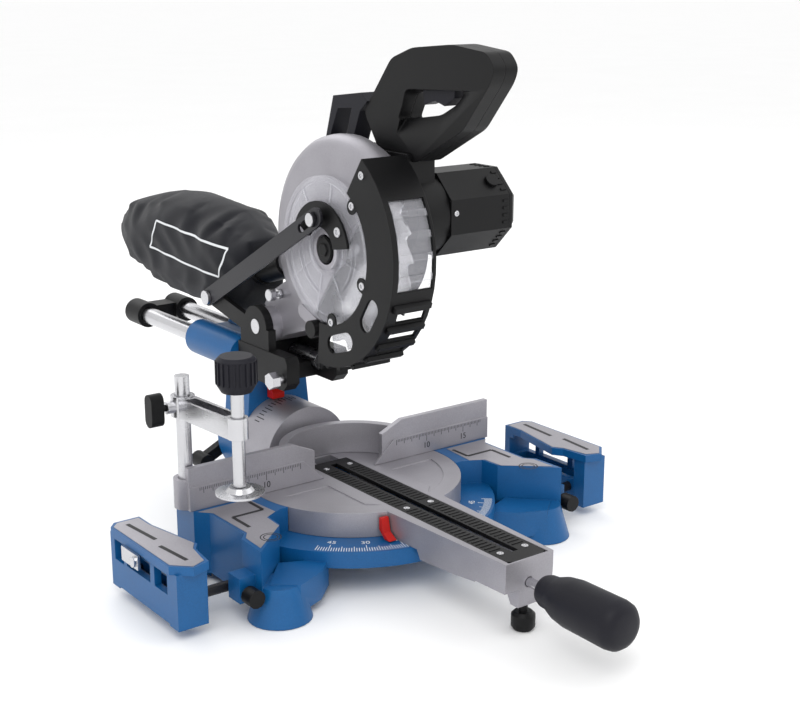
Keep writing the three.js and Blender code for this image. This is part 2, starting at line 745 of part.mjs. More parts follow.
function tiltingArm() {
  const face = BEVEL_FACE + GAP;
  const back = face + 48;
  const disc = rod("y", [0, BEVEL_AXIS], face, back, BEVEL_RADIUS, 48);
  const neck = prism(
    "y",
    [
      [-42, BEVEL_AXIS],
      [-34, RAIL_HEIGHT - 8],
      [34, RAIL_HEIGHT - 8],
      [42, BEVEL_AXIS],
    ],
    face,
    back,
  );
  const brace = prism(
    "x",
    [
      [back - 2, BEVEL_AXIS + 20],
      [back - 2, RAIL_HEIGHT],
      [BARREL_REAR - 6, RAIL_HEIGHT],
      [BARREL_REAR - 10, RAIL_HEIGHT - 14],
    ],
    -12,
    12,
  );
  const barrels = [-RAIL_X, RAIL_X].map((x) =>
    rod("y", [x, RAIL_HEIGHT], BARREL_FRONT, BARREL_REAR, BARREL_RADIUS, 36),
  );
  const web = box([-RAIL_X, RAIL_X], [BARREL_FRONT, BARREL_REAR], [RAIL_HEIGHT - 12, RAIL_HEIGHT + 12]);
  const bores = [-RAIL_X, RAIL_X].map((x) =>
    rod("y", [x, RAIL_HEIGHT], BARREL_FRONT - 60, BARREL_REAR + 1, RAIL_RADIUS + RUNNING, 32),
  );
  const bolt = rod("y", [0, BEVEL_AXIS], face - 1, back + 1, BEVEL_BOLT + RUNNING, 24);
  const bracketRoom = box([-60, 60], [100, BARREL_FRONT - 0.01], [RAIL_HEIGHT - BRACKET_DROP - 2, 300]);
  return cut(join(disc, neck, brace, web, ...barrels), ...bores, bolt, bracketRoom);
}

const BRACKET_DROP = 17; // how far the sliding bracket hangs below the rails' centres
const BEVEL_BORE = 90; // the blind bore in the turntable's bevel housing starts here
const BEVEL_BOLT_END = BEVEL_FACE + 80;

function bevelPivotBolt() {
  return join(
    rod("y", [0, TABLE_HEIGHT], BEVEL_BORE + GAP, BEVEL_BOLT_END, BEVEL_BOLT, 20),
    rod("y", [0, TABLE_HEIGHT], BEVEL_BOLT_END - 7, BEVEL_BOLT_END, BEVEL_BOLT + 5, 6),
  );
}

// Lever nut on the rear end of the bevel bolt: it clamps the tilt.
function bevelLockLever() {
  const y0 = BEVEL_FACE + 50;
  const hub = rod("y", [0, BEVEL_AXIS], y0, y0 + 22, 15, 24);
  const tip = { x: -62, z: BEVEL_AXIS - 30 };
  const bar = prism("y", link([0, BEVEL_AXIS], [tip.x, tip.z], 6), y0 + 8, y0 + 18);
  const ball = rod("y", [tip.x, tip.z], y0 + 2, y0 + 24, 9, 16);
  return cut(join(hub, bar, ball), rod("y", [0, BEVEL_AXIS], y0 - 1, y0 + 30, BEVEL_BOLT + GAP, 20));
}

function bevelPointer() {
  const low = BEVEL_AXIS + BEVEL_RADIUS + 1;
  const back = BEVEL_FACE - 0.5;
  const outline = [
    [back - 12, low],
    [back - 0.5, low],
    [back - 0.5, low + 9],
    [back, low + 15],
    [back - 6, low + 15],
    [back - 13, low + 6],
  ];
  const middle = -8;
  return prism("x", outline, middle - 7, middle + 7);
}

// ---------------------------------------------------------------- sliding carriage

function pivotBracket() {
  const low = RAIL_HEIGHT - BRACKET_DROP;
  const high = RAIL_HEIGHT + 19;
  const block = prism(
    "x",
    [
      [BRACKET_FRONT + 8, low],
      [BRACKET_REAR, low],
      [BRACKET_REAR, high],
      [BRACKET_FRONT + 4, high],
      [BRACKET_FRONT, high - 6],
      [BRACKET_FRONT, low + 8],
    ],
    -BRACKET_HALF,
    BRACKET_HALF,
  );
  const ears = [-1, 1].flatMap((side) => {
    const xs = span(side, EAR_INNER, BRACKET_HALF - 1);
    return [
      rod("x", [PIVOT.y, PIVOT.z], ...xs, EAR_RADIUS, 32),
      box(xs, [PIVOT.y - 26, PIVOT.y + 30], [high - 4, PIVOT.z]),
    ];
  });
  const lug = prism(
    "x",
    link([PIVOT.y + 10, PIVOT.z - 2], [LINK_REAR.y, LINK_REAR.z], 9),
    -BRACKET_HALF + 1,
    -BRACKET_HALF + 7,
  );
  const bladeRoom = box([-GUARD_HALF - 6, GUARD_HALF + 6], [BRACKET_FRONT - 1, 100], [0, 300]);
  const armRoom = box([-EAR_INNER, EAR_INNER], [99, BRACKET_REAR - 14], [high - 20, 300]);
  const bores = [-RAIL_X, RAIL_X].map((x) =>
    rod("y", [x, RAIL_HEIGHT], RAIL_FRONT - GAP, BRACKET_REAR + 1, RAIL_RADIUS + GAP, 32),
  );
  const pin = rod("x", [PIVOT.y, PIVOT.z], -60, 60, PIVOT_PIN + GAP, 24);
  const linkBolt = rod("x", [LINK_REAR.y, LINK_REAR.z], -60, 0, 3.5 + GAP, 16);
  return cut(join(block, ...ears, lug), bladeRoom, armRoom, ...bores, pin, linkBolt);
}

function rail(side) {
  return rod("y", [side * RAIL_X, RAIL_HEIGHT], RAIL_FRONT, TIE_FRONT + TIE_THICKNESS - 8, RAIL_RADIUS, 32);
}

function tieBar() {
  const back = TIE_FRONT + TIE_THICKNESS;
  const cups = [-RAIL_X, RAIL_X].map((x) => rod("y", [x, RAIL_HEIGHT], TIE_FRONT, back, RAIL_RADIUS + 5, 28));
  const bar = box([-RAIL_X, RAIL_X], [TIE_FRONT + 6, back - 2], [RAIL_HEIGHT - 9, RAIL_HEIGHT + 9]);
  const bores = [-RAIL_X, RAIL_X].map((x) =>
    rod("y", [x, RAIL_HEIGHT], TIE_FRONT - 1, back - 8 + GAP, RAIL_RADIUS + GAP, 28),
  );
  return cut(join(...cups, bar), ...bores);
}

function pivotShaft() {
  const end = BRACKET_HALF - 1 + GAP;
  return join(
    rod("x", [PIVOT.y, PIVOT.z], -end, end, PIVOT_PIN, 24),
    rod("x", [PIVOT.y, PIVOT.z], end, end + 4, 11, 24),
  );
}

function carriageLockScrew() {
  const from = -BRACKET_HALF - GAP;
  const centre = [BRACKET_FRONT + 9, RAIL_HEIGHT - 4];
  return join(rod("x", centre, from - 8, from, 5, 16), rod("x", centre, from - 16, from - 7, 9, 6));
}

const LINK_PIN_RADIUS = 3;

function guardLink() {
  const rear = [LINK_REAR.y, LINK_REAR.z];
  const length = Math.hypot(LINK_PIN.y - LINK_REAR.y, LINK_PIN.z - LINK_REAR.z);
  const along = (distance) => [
    LINK_REAR.y + ((LINK_PIN.y - LINK_REAR.y) * distance) / length,
    LINK_REAR.z + ((LINK_PIN.z - LINK_REAR.z) * distance) / length,
  ];
  const bar = prism("x", link(rear, along(length + 6), 9.5), LINK_X, LINK_X + LINK_THICKNESS);
  const slot = prism("x", link(along(length - 24), along(length + 5), 4.5), LINK_X - 1, LINK_X + 5);
  const bore = rod("x", rear, LINK_X - 1, LINK_X + 5, 3.5 + RUNNING, 16);
  const pinHead = rod("x", along(length), LINK_X - 3, LINK_X + GAP, 7.5, 20);
  return join(cut(bar, slot, bore), pinHead);
}

function linkBolt() {
  const at = [LINK_REAR.y, LINK_REAR.z];
  return join(
    rod("x", at, LINK_X - 0.8, -BRACKET_HALF + 7, 3.5, 12),
    rod("x", at, LINK_X - 4, LINK_X - RUNNING, 8, 20),
  );
}

// ---------------------------------------------------------------- saw head

const C = [BLADE_CENTRE.y, BLADE_CENTRE.z];
const HUB_BOSS = 20;
const HEAD_ARM_HALF = 14.5; // narrow enough to pass between the rails
const GEAR_FACE = 23; // where the gear housing meets the head casting's flange

// The half plane that the upper guard covers, as a large rectangle tilted with its open side.
function guardHalfPlane(extra) {
  const reach = 160;
  const [fy, fz] = [-Math.cos(radians(GUARD_OPEN)), Math.sin(radians(GUARD_OPEN))];
  const [uy, uz] = [fz, -fy];
  const at = (f, u) => [C[0] + fy * f + uy * u, C[1] + fz * f + uz * u];
  return [at(-reach, -extra), at(reach, -extra), at(reach, reach), at(-reach, reach)];
}

function headCasting() {
  const barrel = turned(
    "x",
    C,
    [
      [0, -GUARD_HALF],
      [GUARD_RADIUS - 12, -GUARD_HALF],
      [GUARD_RADIUS - 5, -GUARD_HALF + 3],
      [GUARD_RADIUS - 1, -GUARD_HALF + 9],
      [GUARD_RADIUS, 0],
      [GUARD_RADIUS - 1, GUARD_HALF - 8],
      [GUARD_RADIUS - 6, GUARD_HALF],
      [0, GUARD_HALF],
    ],
    64,
  );
  const shell = common(barrel, prism("x", guardHalfPlane(14), -60, 60));
  const hub = rod("x", C, -27, 0, HUB_BOSS, 32);
  const gearFlange = rod("x", C, GUARD_HALF - 2, GEAR_FACE - GAP, 64, 40);
  const armOutline = [
    around(PIVOT, 19, -60),
    around(PIVOT, 19, -20),
    [PIVOT.y + 17, PIVOT.z + 18],
    [PIVOT.y + 4, PIVOT.z + 33],
    [PIVOT.y - 24, PIVOT.z + 49],
    [PIVOT.y - 60, PIVOT.z + 62],
    [PIVOT.y - 84, PIVOT.z + 30],
    [PIVOT.y - 60, PIVOT.z + 4],
    [PIVOT.y - 24, PIVOT.z - 8],
  ];
  const arm = prism("x", armOutline, -HEAD_ARM_HALF, HEAD_ARM_HALF);
  const boss = rod("x", [PIVOT.y, PIVOT.z], -EAR_INNER + RUNNING, EAR_INNER - RUNNING, 19, 32);
  const stopLug = prism("x", link([60, 232], STOP, 7), -GUARD_HALF - 3, -GUARD_HALF + 1);
  const portRoot = dustTube(PORT_ROOT, 100, 118);
  const blade = turned(
    "x",
    C,
    [
      [0, -GUARD_HALF + GUARD_WALL],
      [GUARD_RADIUS - 14, -GUARD_HALF + GUARD_WALL],
      [GUARD_RADIUS - 3, -GUARD_HALF + 12],
      [GUARD_RADIUS - 3, GUARD_HALF - 10],
      [GUARD_RADIUS - 9, GUARD_HALF - GUARD_WALL],
      [0, GUARD_HALF - GUARD_WALL],
    ],
    48,
  );
  const bore = rod("x", C, 0, 60, ARBOR_RADIUS + 5, 28);
  const nose = rod("x", C, -60, 0, 15, 28);
  const pin = rod("x", [PIVOT.y, PIVOT.z], -60, 60, PIVOT_PIN + RUNNING, 24);
  const stopHole = rod("x", STOP, -60, 0, 2.5 + GAP, 12);
  const port = dustTube(9.5, 80, 140);
  const whole = join(shell, hub, gearFlange, arm, boss, stopLug, portRoot);
  return cut(whole, blade, bore, nose, pin, stopHole, port, motorBite());
}

// Room in the head casting for the motor pinion's end.
function motorBite() {
  return rod("x", [MOTOR.y, MOTOR.z], GUARD_HALF - 1 + 3, 40, 16, 24);
}

const STOP = around(BLADE_CENTRE, 88, 254);
const DUST_ANGLE = 197;
const PORT_END = 165;
const PORT_ROOT = 13; // outer radius of the stub on the casting that the port slips over
const PORT_RIDGE = 18.5; // outer radius of the ridge that holds the bag

// A straight tube out of the rear of the guard, where the dust leaves it.
function dustTube(radius, from, to) {
  const geometry = new THREE.CylinderGeometry(radius, radius, to - from, 28);
  geometry.translate(0, (from + to) / 2, 0);
  geometry.rotateX(radians(180 - DUST_ANGLE));
  return geometry.translate(0, C[0], C[1]);
}

function dustPort() {
  const tube = join(dustTube(16.5, 112, PORT_END), dustTube(PORT_RIDGE, PORT_END - 6, PORT_END - 2));
  return cut(tube, dustTube(PORT_ROOT + GAP, 100, 118 + GAP), dustTube(11, 100, PORT_END + 4));
}

// The bag's plain shape: it is clamped on the port and bulges over the rails.
function dustBag() {
  const side = [
    [158, 290],
    [158, 234],
    [186, 204],
    [230, 197],
    [300, 197],
    [370, 203],
    [440, 222],
    [480, 246],
    [474, 276],
    [440, 300],
    [334, 320],
    [230, 312],
  ];
  const block = prism("x", side, -27, 52);
  const plan = [
    [-24, 150],
    [-24, 166],
    [-27, 215],
    [-27, 440],
    [-18, 482],
    [42, 482],
    [52, 440],
    [50, 215],
    [26, 166],
    [26, 150],
  ];
  const room = dustTube(PORT_RIDGE + GAP, 140, PORT_END + GAP);
  return cut(common(block, prism("z", plan, 150, 350)), room);
}

function stopRoller() {
  return join(
    rod("x", STOP, -GUARD_HALF - 13, -GUARD_HALF - 3 - GAP, 9, 20),
    rod("x", STOP, -GUARD_HALF - 4, -GUARD_HALF + 1, 2.5, 12),
  );
}

// The block on the gear housing that carries both handles.
function neckOutline(margin) {
  return [
    [-60, 330],
    [70 + margin, 330],
    [70 + margin, 372],
    [42 + margin, 400 + margin],
    [-60, 400 + margin],
  ];
}

function gearHousing() {
  const outer = join(
    rod("x", C, GEAR_FACE, 52, 62, 40),
    rod("x", [MOTOR.y, MOTOR.z], GEAR_FACE, MOTOR_START - GAP, MOTOR_RADIUS - 2, 36),
    prism("x", neckOutline(0), GEAR_FACE, 56),
  );
  const inside = [
    rod("x", C, GEAR_FACE - 1, 46, 52, 40),
    rod("x", [MOTOR.y, MOTOR.z], GEAR_FACE - 1, 46, 24, 28),
    rod("x", [MOTOR.y, MOTOR.z], 40, 80, 9, 20),
    rod("x", C, 40, 50, ARBOR_RADIUS + GAP + 3, 20),
  ];
  return cut(outer, ...inside);
}

const STATOR_SEAT = MOTOR_RADIUS - 5; // inner radius of the motor's shell

function motorOutline(radius) {
  const angles = Array.from({ length: 8 }, (_, i) => radians(22.5 + 45 * i));
  return angles.map((angle) => [MOTOR.y + radius * Math.cos(angle), MOTOR.z + radius * Math.sin(angle)]);
}

function motorHousing() {
  const shell = prism("x", motorOutline(MOTOR_RADIUS + 2), MOTOR_START, MOTOR_END);
  const at = [MOTOR.y, MOTOR.z];
  const hollow = rod("x", at, MOTOR_START + 4, MOTOR_END + 1, STATOR_SEAT, 36);
  return cut(shell, hollow, rod("x", at, MOTOR_START - 1, MOTOR_START + 5, 9, 20));
}

function motorEndCap() {
  const start = MOTOR_END + GAP;
  const plate = prism("x", motorOutline(MOTOR_RADIUS + 2), start, start + 4);
  const nose = tapered(motorOutline(MOTOR_RADIUS + 1), start + 3, motorOutline(MOTOR_RADIUS - 8), start + 14);
  return cut(join(plate, nose), rod("x", [MOTOR.y, MOTOR.z], start - 1, start + 6, 9, 20));
}

function stator() {
  return ring("x", [MOTOR.y, MOTOR.z], MOTOR_START + 12, MOTOR_END - 14, STATOR_SEAT - GAP, 27, 32);
}

// The cap over a motor brush, on the flat that faces up and to the front.
function brushCap() {
  const cap = rod("z", [MOTOR_END - 14, 0], MOTOR_RADIUS - 1, MOTOR_RADIUS + 2, 7, 20);
  return cap.rotateX(radians(45)).translate(0, MOTOR.y, MOTOR.z);
}

// A gear's outline with straight-sided teeth, thinned so that a pair runs free.
function gearOutline(centre, teeth, phase) {
  const pitch = (GEAR_MODULE * teeth) / 2;
  const points = [];
  for (let i = 0; i < teeth; i += 1) {
    const step = 360 / teeth;
    for (const [share, radius] of [[-0.32, -1.2], [-0.12, 0.9], [0.12, 0.9], [0.32, -1.2]]) {
      points.push(around(centre, pitch + radius * GEAR_MODULE, phase + (i + share) * step));
    }
  }
  return points;
}

// The direction from the blade's axis to the motor's, in degrees from the front up.
const GEAR_HEADING = (Math.atan2(MOTOR.z - BLADE_CENTRE.z, BLADE_CENTRE.y - MOTOR.y) * 180) / Math.PI;

function armature() {
  const at = [MOTOR.y, MOTOR.z];
  const pinion = gearOutline(MOTOR, PINION_TEETH, GEAR_HEADING + 180 + 180 / PINION_TEETH);
  return join(
    rod("x", at, GEAR_FACE + 2, MOTOR_END + 4, 5, 20),
    rod("x", at, MOTOR_START + 14, MOTOR_END - 20, 25, 28),
    prism("x", pinion, GEAR_FACE + 4, 42),
  );
}

function drivenGear() {
  const outline = gearOutline(BLADE_CENTRE, GEAR_TEETH, GEAR_HEADING);
  return cut(prism("x", outline, GEAR_FACE + 4, 42), rod("x", C, 0, 80, ARBOR_RADIUS + GAP, 20));
}

function arbor() {
  return join(
    rod("x", C, -8, 48, ARBOR_RADIUS, 24),
    rod("x", C, BLADE_THICKNESS / 2 + GAP, 7, 12.5, 24),
  );
}

function bladeDisc() {
  const points = [];
  for (let i = 0; i < BLADE_TEETH; i += 1) {
    const step = 360 / BLADE_TEETH;
    for (const [share, radius] of [[0, 0], [0.28, -3], [0.55, -7.5], [0.8, -9], [0.93, -6]]) {
      points.push(around(BLADE_CENTRE, BLADE_RADIUS + radius, (i + share) * step));
    }
  }
  const plate = prism("x", points, -BLADE_THICKNESS / 2, BLADE_THICKNESS / 2);
  return cut(plate, rod("x", C, -10, 10, ARBOR_RADIUS + GAP, 24));
}

function outerFlange() {
  return ring("x", C, -7.5, -BLADE_THICKNESS / 2 - GAP, 12.5, ARBOR_RADIUS + GAP, 24);
}

function arborBolt() {
  return rod("x", C, -14, -8 - GAP, 8, 6);
}

// ---------------------------------------------------------------- swinging lower guard

const COVER_TOP = 55;
const COVER_LOW = -95;
const COVER_RADIUS = 116;
const COVER_WALL = 3;
const COVER_X = -30.5;
const COVER_FAR = 19;
const DISC_X = -26.5;

function guardDisc() {
  const rim = ring("x", C, DISC_X - 2, DISC_X + 4, 72, 67, 36);
  const web = ring("x", C, DISC_X, DISC_X + 2, 70, HUB_BOSS + RUNNING, 36);
  const collar = ring("x", C, DISC_X - 3, DISC_X + 4, HUB_BOSS + 5, HUB_BOSS + RUNNING, 24);
  const middle = ring("x", C, DISC_X - 1, DISC_X + 3, 47, 44.5, 32);
  const spoke = () => box([DISC_X - 1.5, DISC_X + 1], [-1.2, 1.2], [HUB_BOSS + 3, 68]);
  const spokes = Array.from({ length: 8 }, (_, i) =>
    spoke()
      .rotateX(radians(45 * i + 12))
      .translate(0, C[0], C[1]),
  );
  return join(web, rim, collar, middle, ...spokes);
}

function guardCover() {
  const side = sector(BLADE_CENTRE, 74, COVER_RADIUS, COVER_LOW, COVER_TOP);
  const plate = prism("x", side, COVER_X, COVER_X + COVER_WALL);
  const band = sector(BLADE_CENTRE, COVER_RADIUS - COVER_WALL, COVER_RADIUS, COVER_LOW, COVER_TOP);
  const rim = prism("x", band, COVER_X, COVER_FAR);
  const tabs = [-78, -20, 44].map((angle) => {
    const outline = link(around(BLADE_CENTRE, 69, angle), around(BLADE_CENTRE, 84, angle), 7);
    return prism("x", outline, COVER_X, COVER_X + 1.5);
  });
  const rimWindow = prism("x", sector(BLADE_CENTRE, 105, 125, -12, 31), COVER_X + 6, COVER_FAR - 3);
  const ovals = [
    [around(BLADE_CENTRE, 93, -40), around(BLADE_CENTRE, 93, -28)],
    [around(BLADE_CENTRE, 93, -80), around(BLADE_CENTRE, 93, -64)],
  ].map(([a, b]) => prism("x", link(a, b, 9), COVER_X - 5, COVER_X + 8));
  const slots = [-26, -38, -50, -62].map((angle) =>
    prism("x", sector(BLADE_CENTRE, 105, 125, angle - 2.6, angle + 2.6, 2.6), COVER_X + 12, COVER_FAR - 5),
  );
  return cut(join(plate, rim, ...tabs), rimWindow, ...ovals, ...slots);
}

// The clear front window: a curved pane behind the opening in the cover, with ribs across it.
function guardWindow() {
  const left = COVER_X + COVER_WALL + GAP;
  const pane = prism("x", sector(BLADE_CENTRE, 110.7, 113 - GAP, -15, 34), left, COVER_FAR - 1);
  const ribs = [-6, 4, 14, 24].map((angle) =>
    prism("x", sector(BLADE_CENTRE, 112, 116, angle - 1.6, angle + 1.6, 1.6), COVER_X + 7, COVER_FAR - 4),
  );
  return join(pane, ...ribs);
}

function guardCrescent() {
  const [low, high] = [10, 150];
  const plate = prism("x", sector(BLADE_CENTRE, 23, 48, low, high, 10), COVER_X - 3, COVER_X - GAP);
  const foot = prism("x", sector(BLADE_CENTRE, 23, 27, low, high, 10), COVER_X - 3, DISC_X - 3 - GAP);
  const start = LINK_X + LINK_THICKNESS + RUNNING;
  const stem = rod("x", [LINK_PIN.y, LINK_PIN.z], start, COVER_X - 2, LINK_PIN_RADIUS, 12);
  return join(plate, foot, stem);
}

// ---------------------------------------------------------------- handle

const HANDLE_OUTLINE = [
  [-28, 487],
  [-60, 498],
  [-118, 503],
  [-166, 498],
  [-177, 485],
  [-172, 472],
  [-135, 428],
  [-66, 392],
  [-8, 399],
  [16, 434],
];
// The finger hole in the handle's middle plane, and the wider rim of its flare on the outer faces.
const HANDLE_HOLE = [
  [-38, 430],
  [-92, 438],
  [-116, 450],
  [-126, 462],
  [-52, 457],
];
const HANDLE_RIM = [
  [-36, 414],
  [-100, 420],
  [-130, 440],
  [-150, 464],
  [-50, 460],
];

// A closed outline with each corner rounded by a short curve that starts that far from the corner.
function rounded(points, reach, steps = 4) {
  const curved = [];
  points.forEach((point, i) => {
    const corner = new THREE.Vector2(...point);
    const previous = new THREE.Vector2(...points[(i + points.length - 1) % points.length]);
    const next = new THREE.Vector2(...points[(i + 1) % points.length]);
    const start = corner.clone().add(previous.sub(corner).setLength(reach));
    const end = corner.clone().add(next.sub(corner).setLength(reach));
    const curve = new THREE.QuadraticBezierCurve(start, corner, end);
    curved.push(...curve.getPoints(steps).map(({ x, y }) => [x, y]));
  });
  return curved;
}

function handleShape() {
  const shape = polygon(rounded(HANDLE_OUTLINE, HANDLE_ROUND));
  const hole = rounded(HANDLE_HOLE, HANDLE_HOLE_ROUND);
  shape.holes.push(new THREE.Path(hole.map(([a, b]) => new THREE.Vector2(a, b))));
  return shape;
}

const TRIGGER_OUTLINE = [
  [-66, 474],
  [-116, 474],
  [-114, 455],
  [-100, 447],
  [-86, 451],
  [-70, 446],
];

const BUTTON = [-134, 484];
const BUTTON_RADIUS = 5;

function handleHalf(side) {
  const inner = side > 0 ? HANDLE_PLANE + GAP / 2 : HANDLE_PLANE - HANDLE_HALF;
  const stock = prism("x", handleShape(), inner, inner + HANDLE_HALF - GAP / 2);
  const face = HANDLE_PLANE + side * HANDLE_HALF;
  const outside = face + side;
  const flare = tapered(
    rounded(HANDLE_RIM, HANDLE_HOLE_ROUND),
    outside,
    rounded(HANDLE_HOLE, HANDLE_HOLE_ROUND),
    face - side * HANDLE_FLARE,
  );
  const triggerRoom = box([HANDLE_PLANE - 8, HANDLE_PLANE + 8], [-118, -64], [456, 480]);
  const switchRoom = box([HANDLE_PLANE - 8.3, HANDLE_PLANE + 8.3], [-58, -38], [461, 485]);
  const buttonRoom = rod("x", BUTTON, HANDLE_PLANE - 6, 100, BUTTON_RADIUS + RUNNING, 16);
  const gearboxRoom = box([0, 100], [-60 - GAP, 40], [380, 400 + GAP]);
  return cut(stock, flare, triggerRoom, switchRoom, gearboxRoom, buttonRoom);
}

function trigger() {
  return prism("x", TRIGGER_OUTLINE, HANDLE_PLANE - 7, HANDLE_PLANE + 7);
}

function switchModule() {
  return box([HANDLE_PLANE - 8, HANDLE_PLANE + 8], [-57, -39], [462, 484]);
}

function lockOffButton() {
  return rod("x", BUTTON, HANDLE_PLANE - 2, HANDLE_PLANE + HANDLE_HALF + 4, BUTTON_RADIUS, 16);
}

// The open frame behind the main handle, by which the folded saw is carried.
function carryHandle() {
  const outer = [
    [92, 366],
    [66, 446],
    [18, 452],
    [8, 444],
    [20, 434],
    [34, 402],
  ];
  const hole = [
    [74, 402],
    [58, 434],
    [34, 436],
    [46, 402],
  ];
  const middle = [-80, 447];
  const spread = HANDLE_OUTLINE.map(([y, z]) => [y + (y - middle[0]) * 0.01, z + (z - middle[1]) * 0.01]);
  const shape = polygon(outer);
  shape.holes.push(new THREE.Path(hole.map(([a, b]) => new THREE.Vector2(a, b))));
  const handleRoom = prism("x", rounded(spread, HANDLE_ROUND), 20, 60);
  return cut(prism("x", shape, 26, 46), prism("x", neckOutline(GAP), 0, 100), handleRoom);
}

// ---------------------------------------------------------------- assembly

function sideExtension(side, label) {
  return body(
    label + "_extension",
    part(label + "_extension_frame", extensionFrame(side), BLUE),
    part(label + "_extension_rod", extensionRod(side), DARK_STEEL),
    part(label + "_stop_clip", stopClip(side), STEEL),
  );
}

function machine() {
  const base = body(
    "base",
    part("base_casting", baseCasting(), BLUE),
    part("fence", fence(), ALUMINIUM),
    part("mitre_pivot_bolt", mitrePivotBolt(), STEEL),
    part("left_extension_lock", extensionLock(-1), BLACK),
    part("right_extension_lock", extensionLock(1), BLACK),
  );
  const table = body(
    "turntable",
    part("turntable", turntable(), ALUMINIUM),
    part("table_insert", tableInsert(), BLACK),
    part("mitre_pointer", mitrePointer(), RED),
    part("bevel_pivot_bolt", bevelPivotBolt(), STEEL),
    part("mitre_lock_spindle", lockSpindle(), STEEL),
    part("mitre_lock_grip", lockGrip(), GRIP),
    part("adjustable_foot", adjustableFoot(), BLACK),
  );
  const clamp = body(
    "clamp",
    part("clamp_post", clampPost(), STEEL),
    part("clamp_arm", clampArm(), STEEL),
    part("clamp_wing_screw", clampWingScrew(), BLACK),
    part("clamp_spindle", clampSpindle(), STEEL),
    part("clamp_knob", clampKnob(), GRIP),
    part("clamp_pad", clampPad(), STEEL),
  );
  const tilting = body(
    "tilting_arm",
    part("tilting_arm", tiltingArm(), BLUE),
    part("bevel_lock_lever", bevelLockLever(), BLACK),
    part("bevel_pointer", bevelPointer(), RED),
  );
  const carriage = body(
    "carriage",
    part("pivot_bracket", pivotBracket(), BLACK),
    part("left_rail", rail(-1), STEEL),
    part("right_rail", rail(1), STEEL),
    part("rail_tie_bar", tieBar(), BLACK),
    part("pivot_shaft", pivotShaft(), STEEL),
    part("carriage_lock_screw", carriageLockScrew(), STEEL),
    part("guard_link", guardLink(), DARK_STEEL),
    part("link_bolt", linkBolt(), STEEL),
  );
  const head = body(
    "head",
    part("head_casting", headCasting(), ALUMINIUM),
    part("gear_housing", gearHousing(), BLACK),
    part("motor_housing", motorHousing(), BLACK),
    part("motor_end_cap", motorEndCap(), BLACK),
    part("motor_stator", stator(), DARK_STEEL),
    part("upper_brush_cap", brushCap(), BLACK),
    part("handle_left_half", handleHalf(-1), BLACK),
    part("handle_right_half", handleHalf(1), BLACK),
    part("carry_handle", carryHandle(), GRIP),
    part("switch_module", switchModule(), DARK_STEEL),
    part("dust_port", dustPort(), BLACK),
    part("dust_bag", dustBag(), FABRIC),
    part("guard_stop_roller", stopRoller(), BLACK),
    part("trigger", trigger(), GRIP),
    part("lock_off_button", lockOffButton(), GRIP),
  );
  const spindle = body(
    "blade_spindle",
    part("saw_blade", bladeDisc(), STEEL),
    part("arbor", arbor(), STEEL),
    part("outer_flange", outerFlange(), STEEL),
    part("arbor_bolt", arborBolt(), STEEL),
    part("driven_gear", drivenGear(), STEEL),
    part("motor_armature", armature(), DARK_STEEL),
  );
  const lowerGuard = body(
    "lower_guard",
    part("guard_disc", guardDisc(), CLEAR),
    part("guard_cover", guardCover(), BLACK),
    part("guard_window", guardWindow(), CLEAR),
    part("guard_crescent", guardCrescent(), BLACK),
  );
  const upper = body("upper_works", tilting, carriage, head, spindle, lowerGuard);
  upper.position.z = TABLE_HEIGHT - BEVEL_AXIS;
  return body("mitre_saw", base, table, sideExtension(-1, "left"), sideExtension(1, "right"), clamp, upper);
}

const saw = machine();
const bounds = new THREE.Box3().setFromObject(saw);
const middle = bounds.getCenter(new THREE.Vector3());
saw.position.set(-middle.x, -middle.y, -bounds.min.z);

export default saw;
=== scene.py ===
"""Looks of the sliding compound mitre saw.

Finishes, printed scales, trim, screws, dust bag, light and camera.
"""

from __future__ import annotations

import json
import logging
import math
from dataclasses import dataclass, field
from enum import Enum
from typing import Any, Iterable, Sequence

import bmesh
import bpy
from mathutils import Matrix, Vector

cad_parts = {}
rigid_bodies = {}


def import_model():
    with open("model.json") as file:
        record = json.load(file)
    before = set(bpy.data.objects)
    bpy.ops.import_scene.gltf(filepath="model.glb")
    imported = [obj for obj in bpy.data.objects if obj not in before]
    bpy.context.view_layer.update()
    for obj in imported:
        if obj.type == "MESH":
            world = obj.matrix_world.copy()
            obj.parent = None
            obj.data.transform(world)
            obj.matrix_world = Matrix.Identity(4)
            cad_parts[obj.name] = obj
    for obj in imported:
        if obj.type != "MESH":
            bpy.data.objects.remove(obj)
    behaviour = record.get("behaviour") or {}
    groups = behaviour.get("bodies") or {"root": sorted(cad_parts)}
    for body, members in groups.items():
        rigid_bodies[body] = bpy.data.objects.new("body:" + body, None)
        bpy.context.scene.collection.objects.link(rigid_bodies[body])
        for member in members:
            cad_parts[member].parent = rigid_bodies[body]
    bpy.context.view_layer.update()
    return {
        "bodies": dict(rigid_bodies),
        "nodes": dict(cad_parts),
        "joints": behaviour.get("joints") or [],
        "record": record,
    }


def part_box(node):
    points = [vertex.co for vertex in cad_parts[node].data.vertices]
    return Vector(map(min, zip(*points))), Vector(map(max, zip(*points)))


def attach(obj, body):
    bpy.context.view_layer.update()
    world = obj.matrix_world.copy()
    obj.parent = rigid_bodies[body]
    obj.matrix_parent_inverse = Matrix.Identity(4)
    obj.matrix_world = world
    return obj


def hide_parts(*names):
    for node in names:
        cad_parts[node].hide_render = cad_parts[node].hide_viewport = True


LOG = logging.getLogger("mitre_saw")
MM = 0.001

BROAD_SCALE = 22.0  # broad mottling per metre
ROUGH_SPREAD = 0.14  # roughness varies by this much with the mottling
FINE_ROUGH = 0.04  # and by this much with the grain
RELIEF_SHARE = 0.35  # how much of the grain's relief shows
SMOOTH_BELOW = 38.0  # degrees; sharper edges stay sharp

Point = tuple[float, float]
Place = tuple[float, float, float]


class Axis(Enum):
    """Direction in which a piece is extruded or turned."""

    X = 0
    Y = 1
    Z = 2


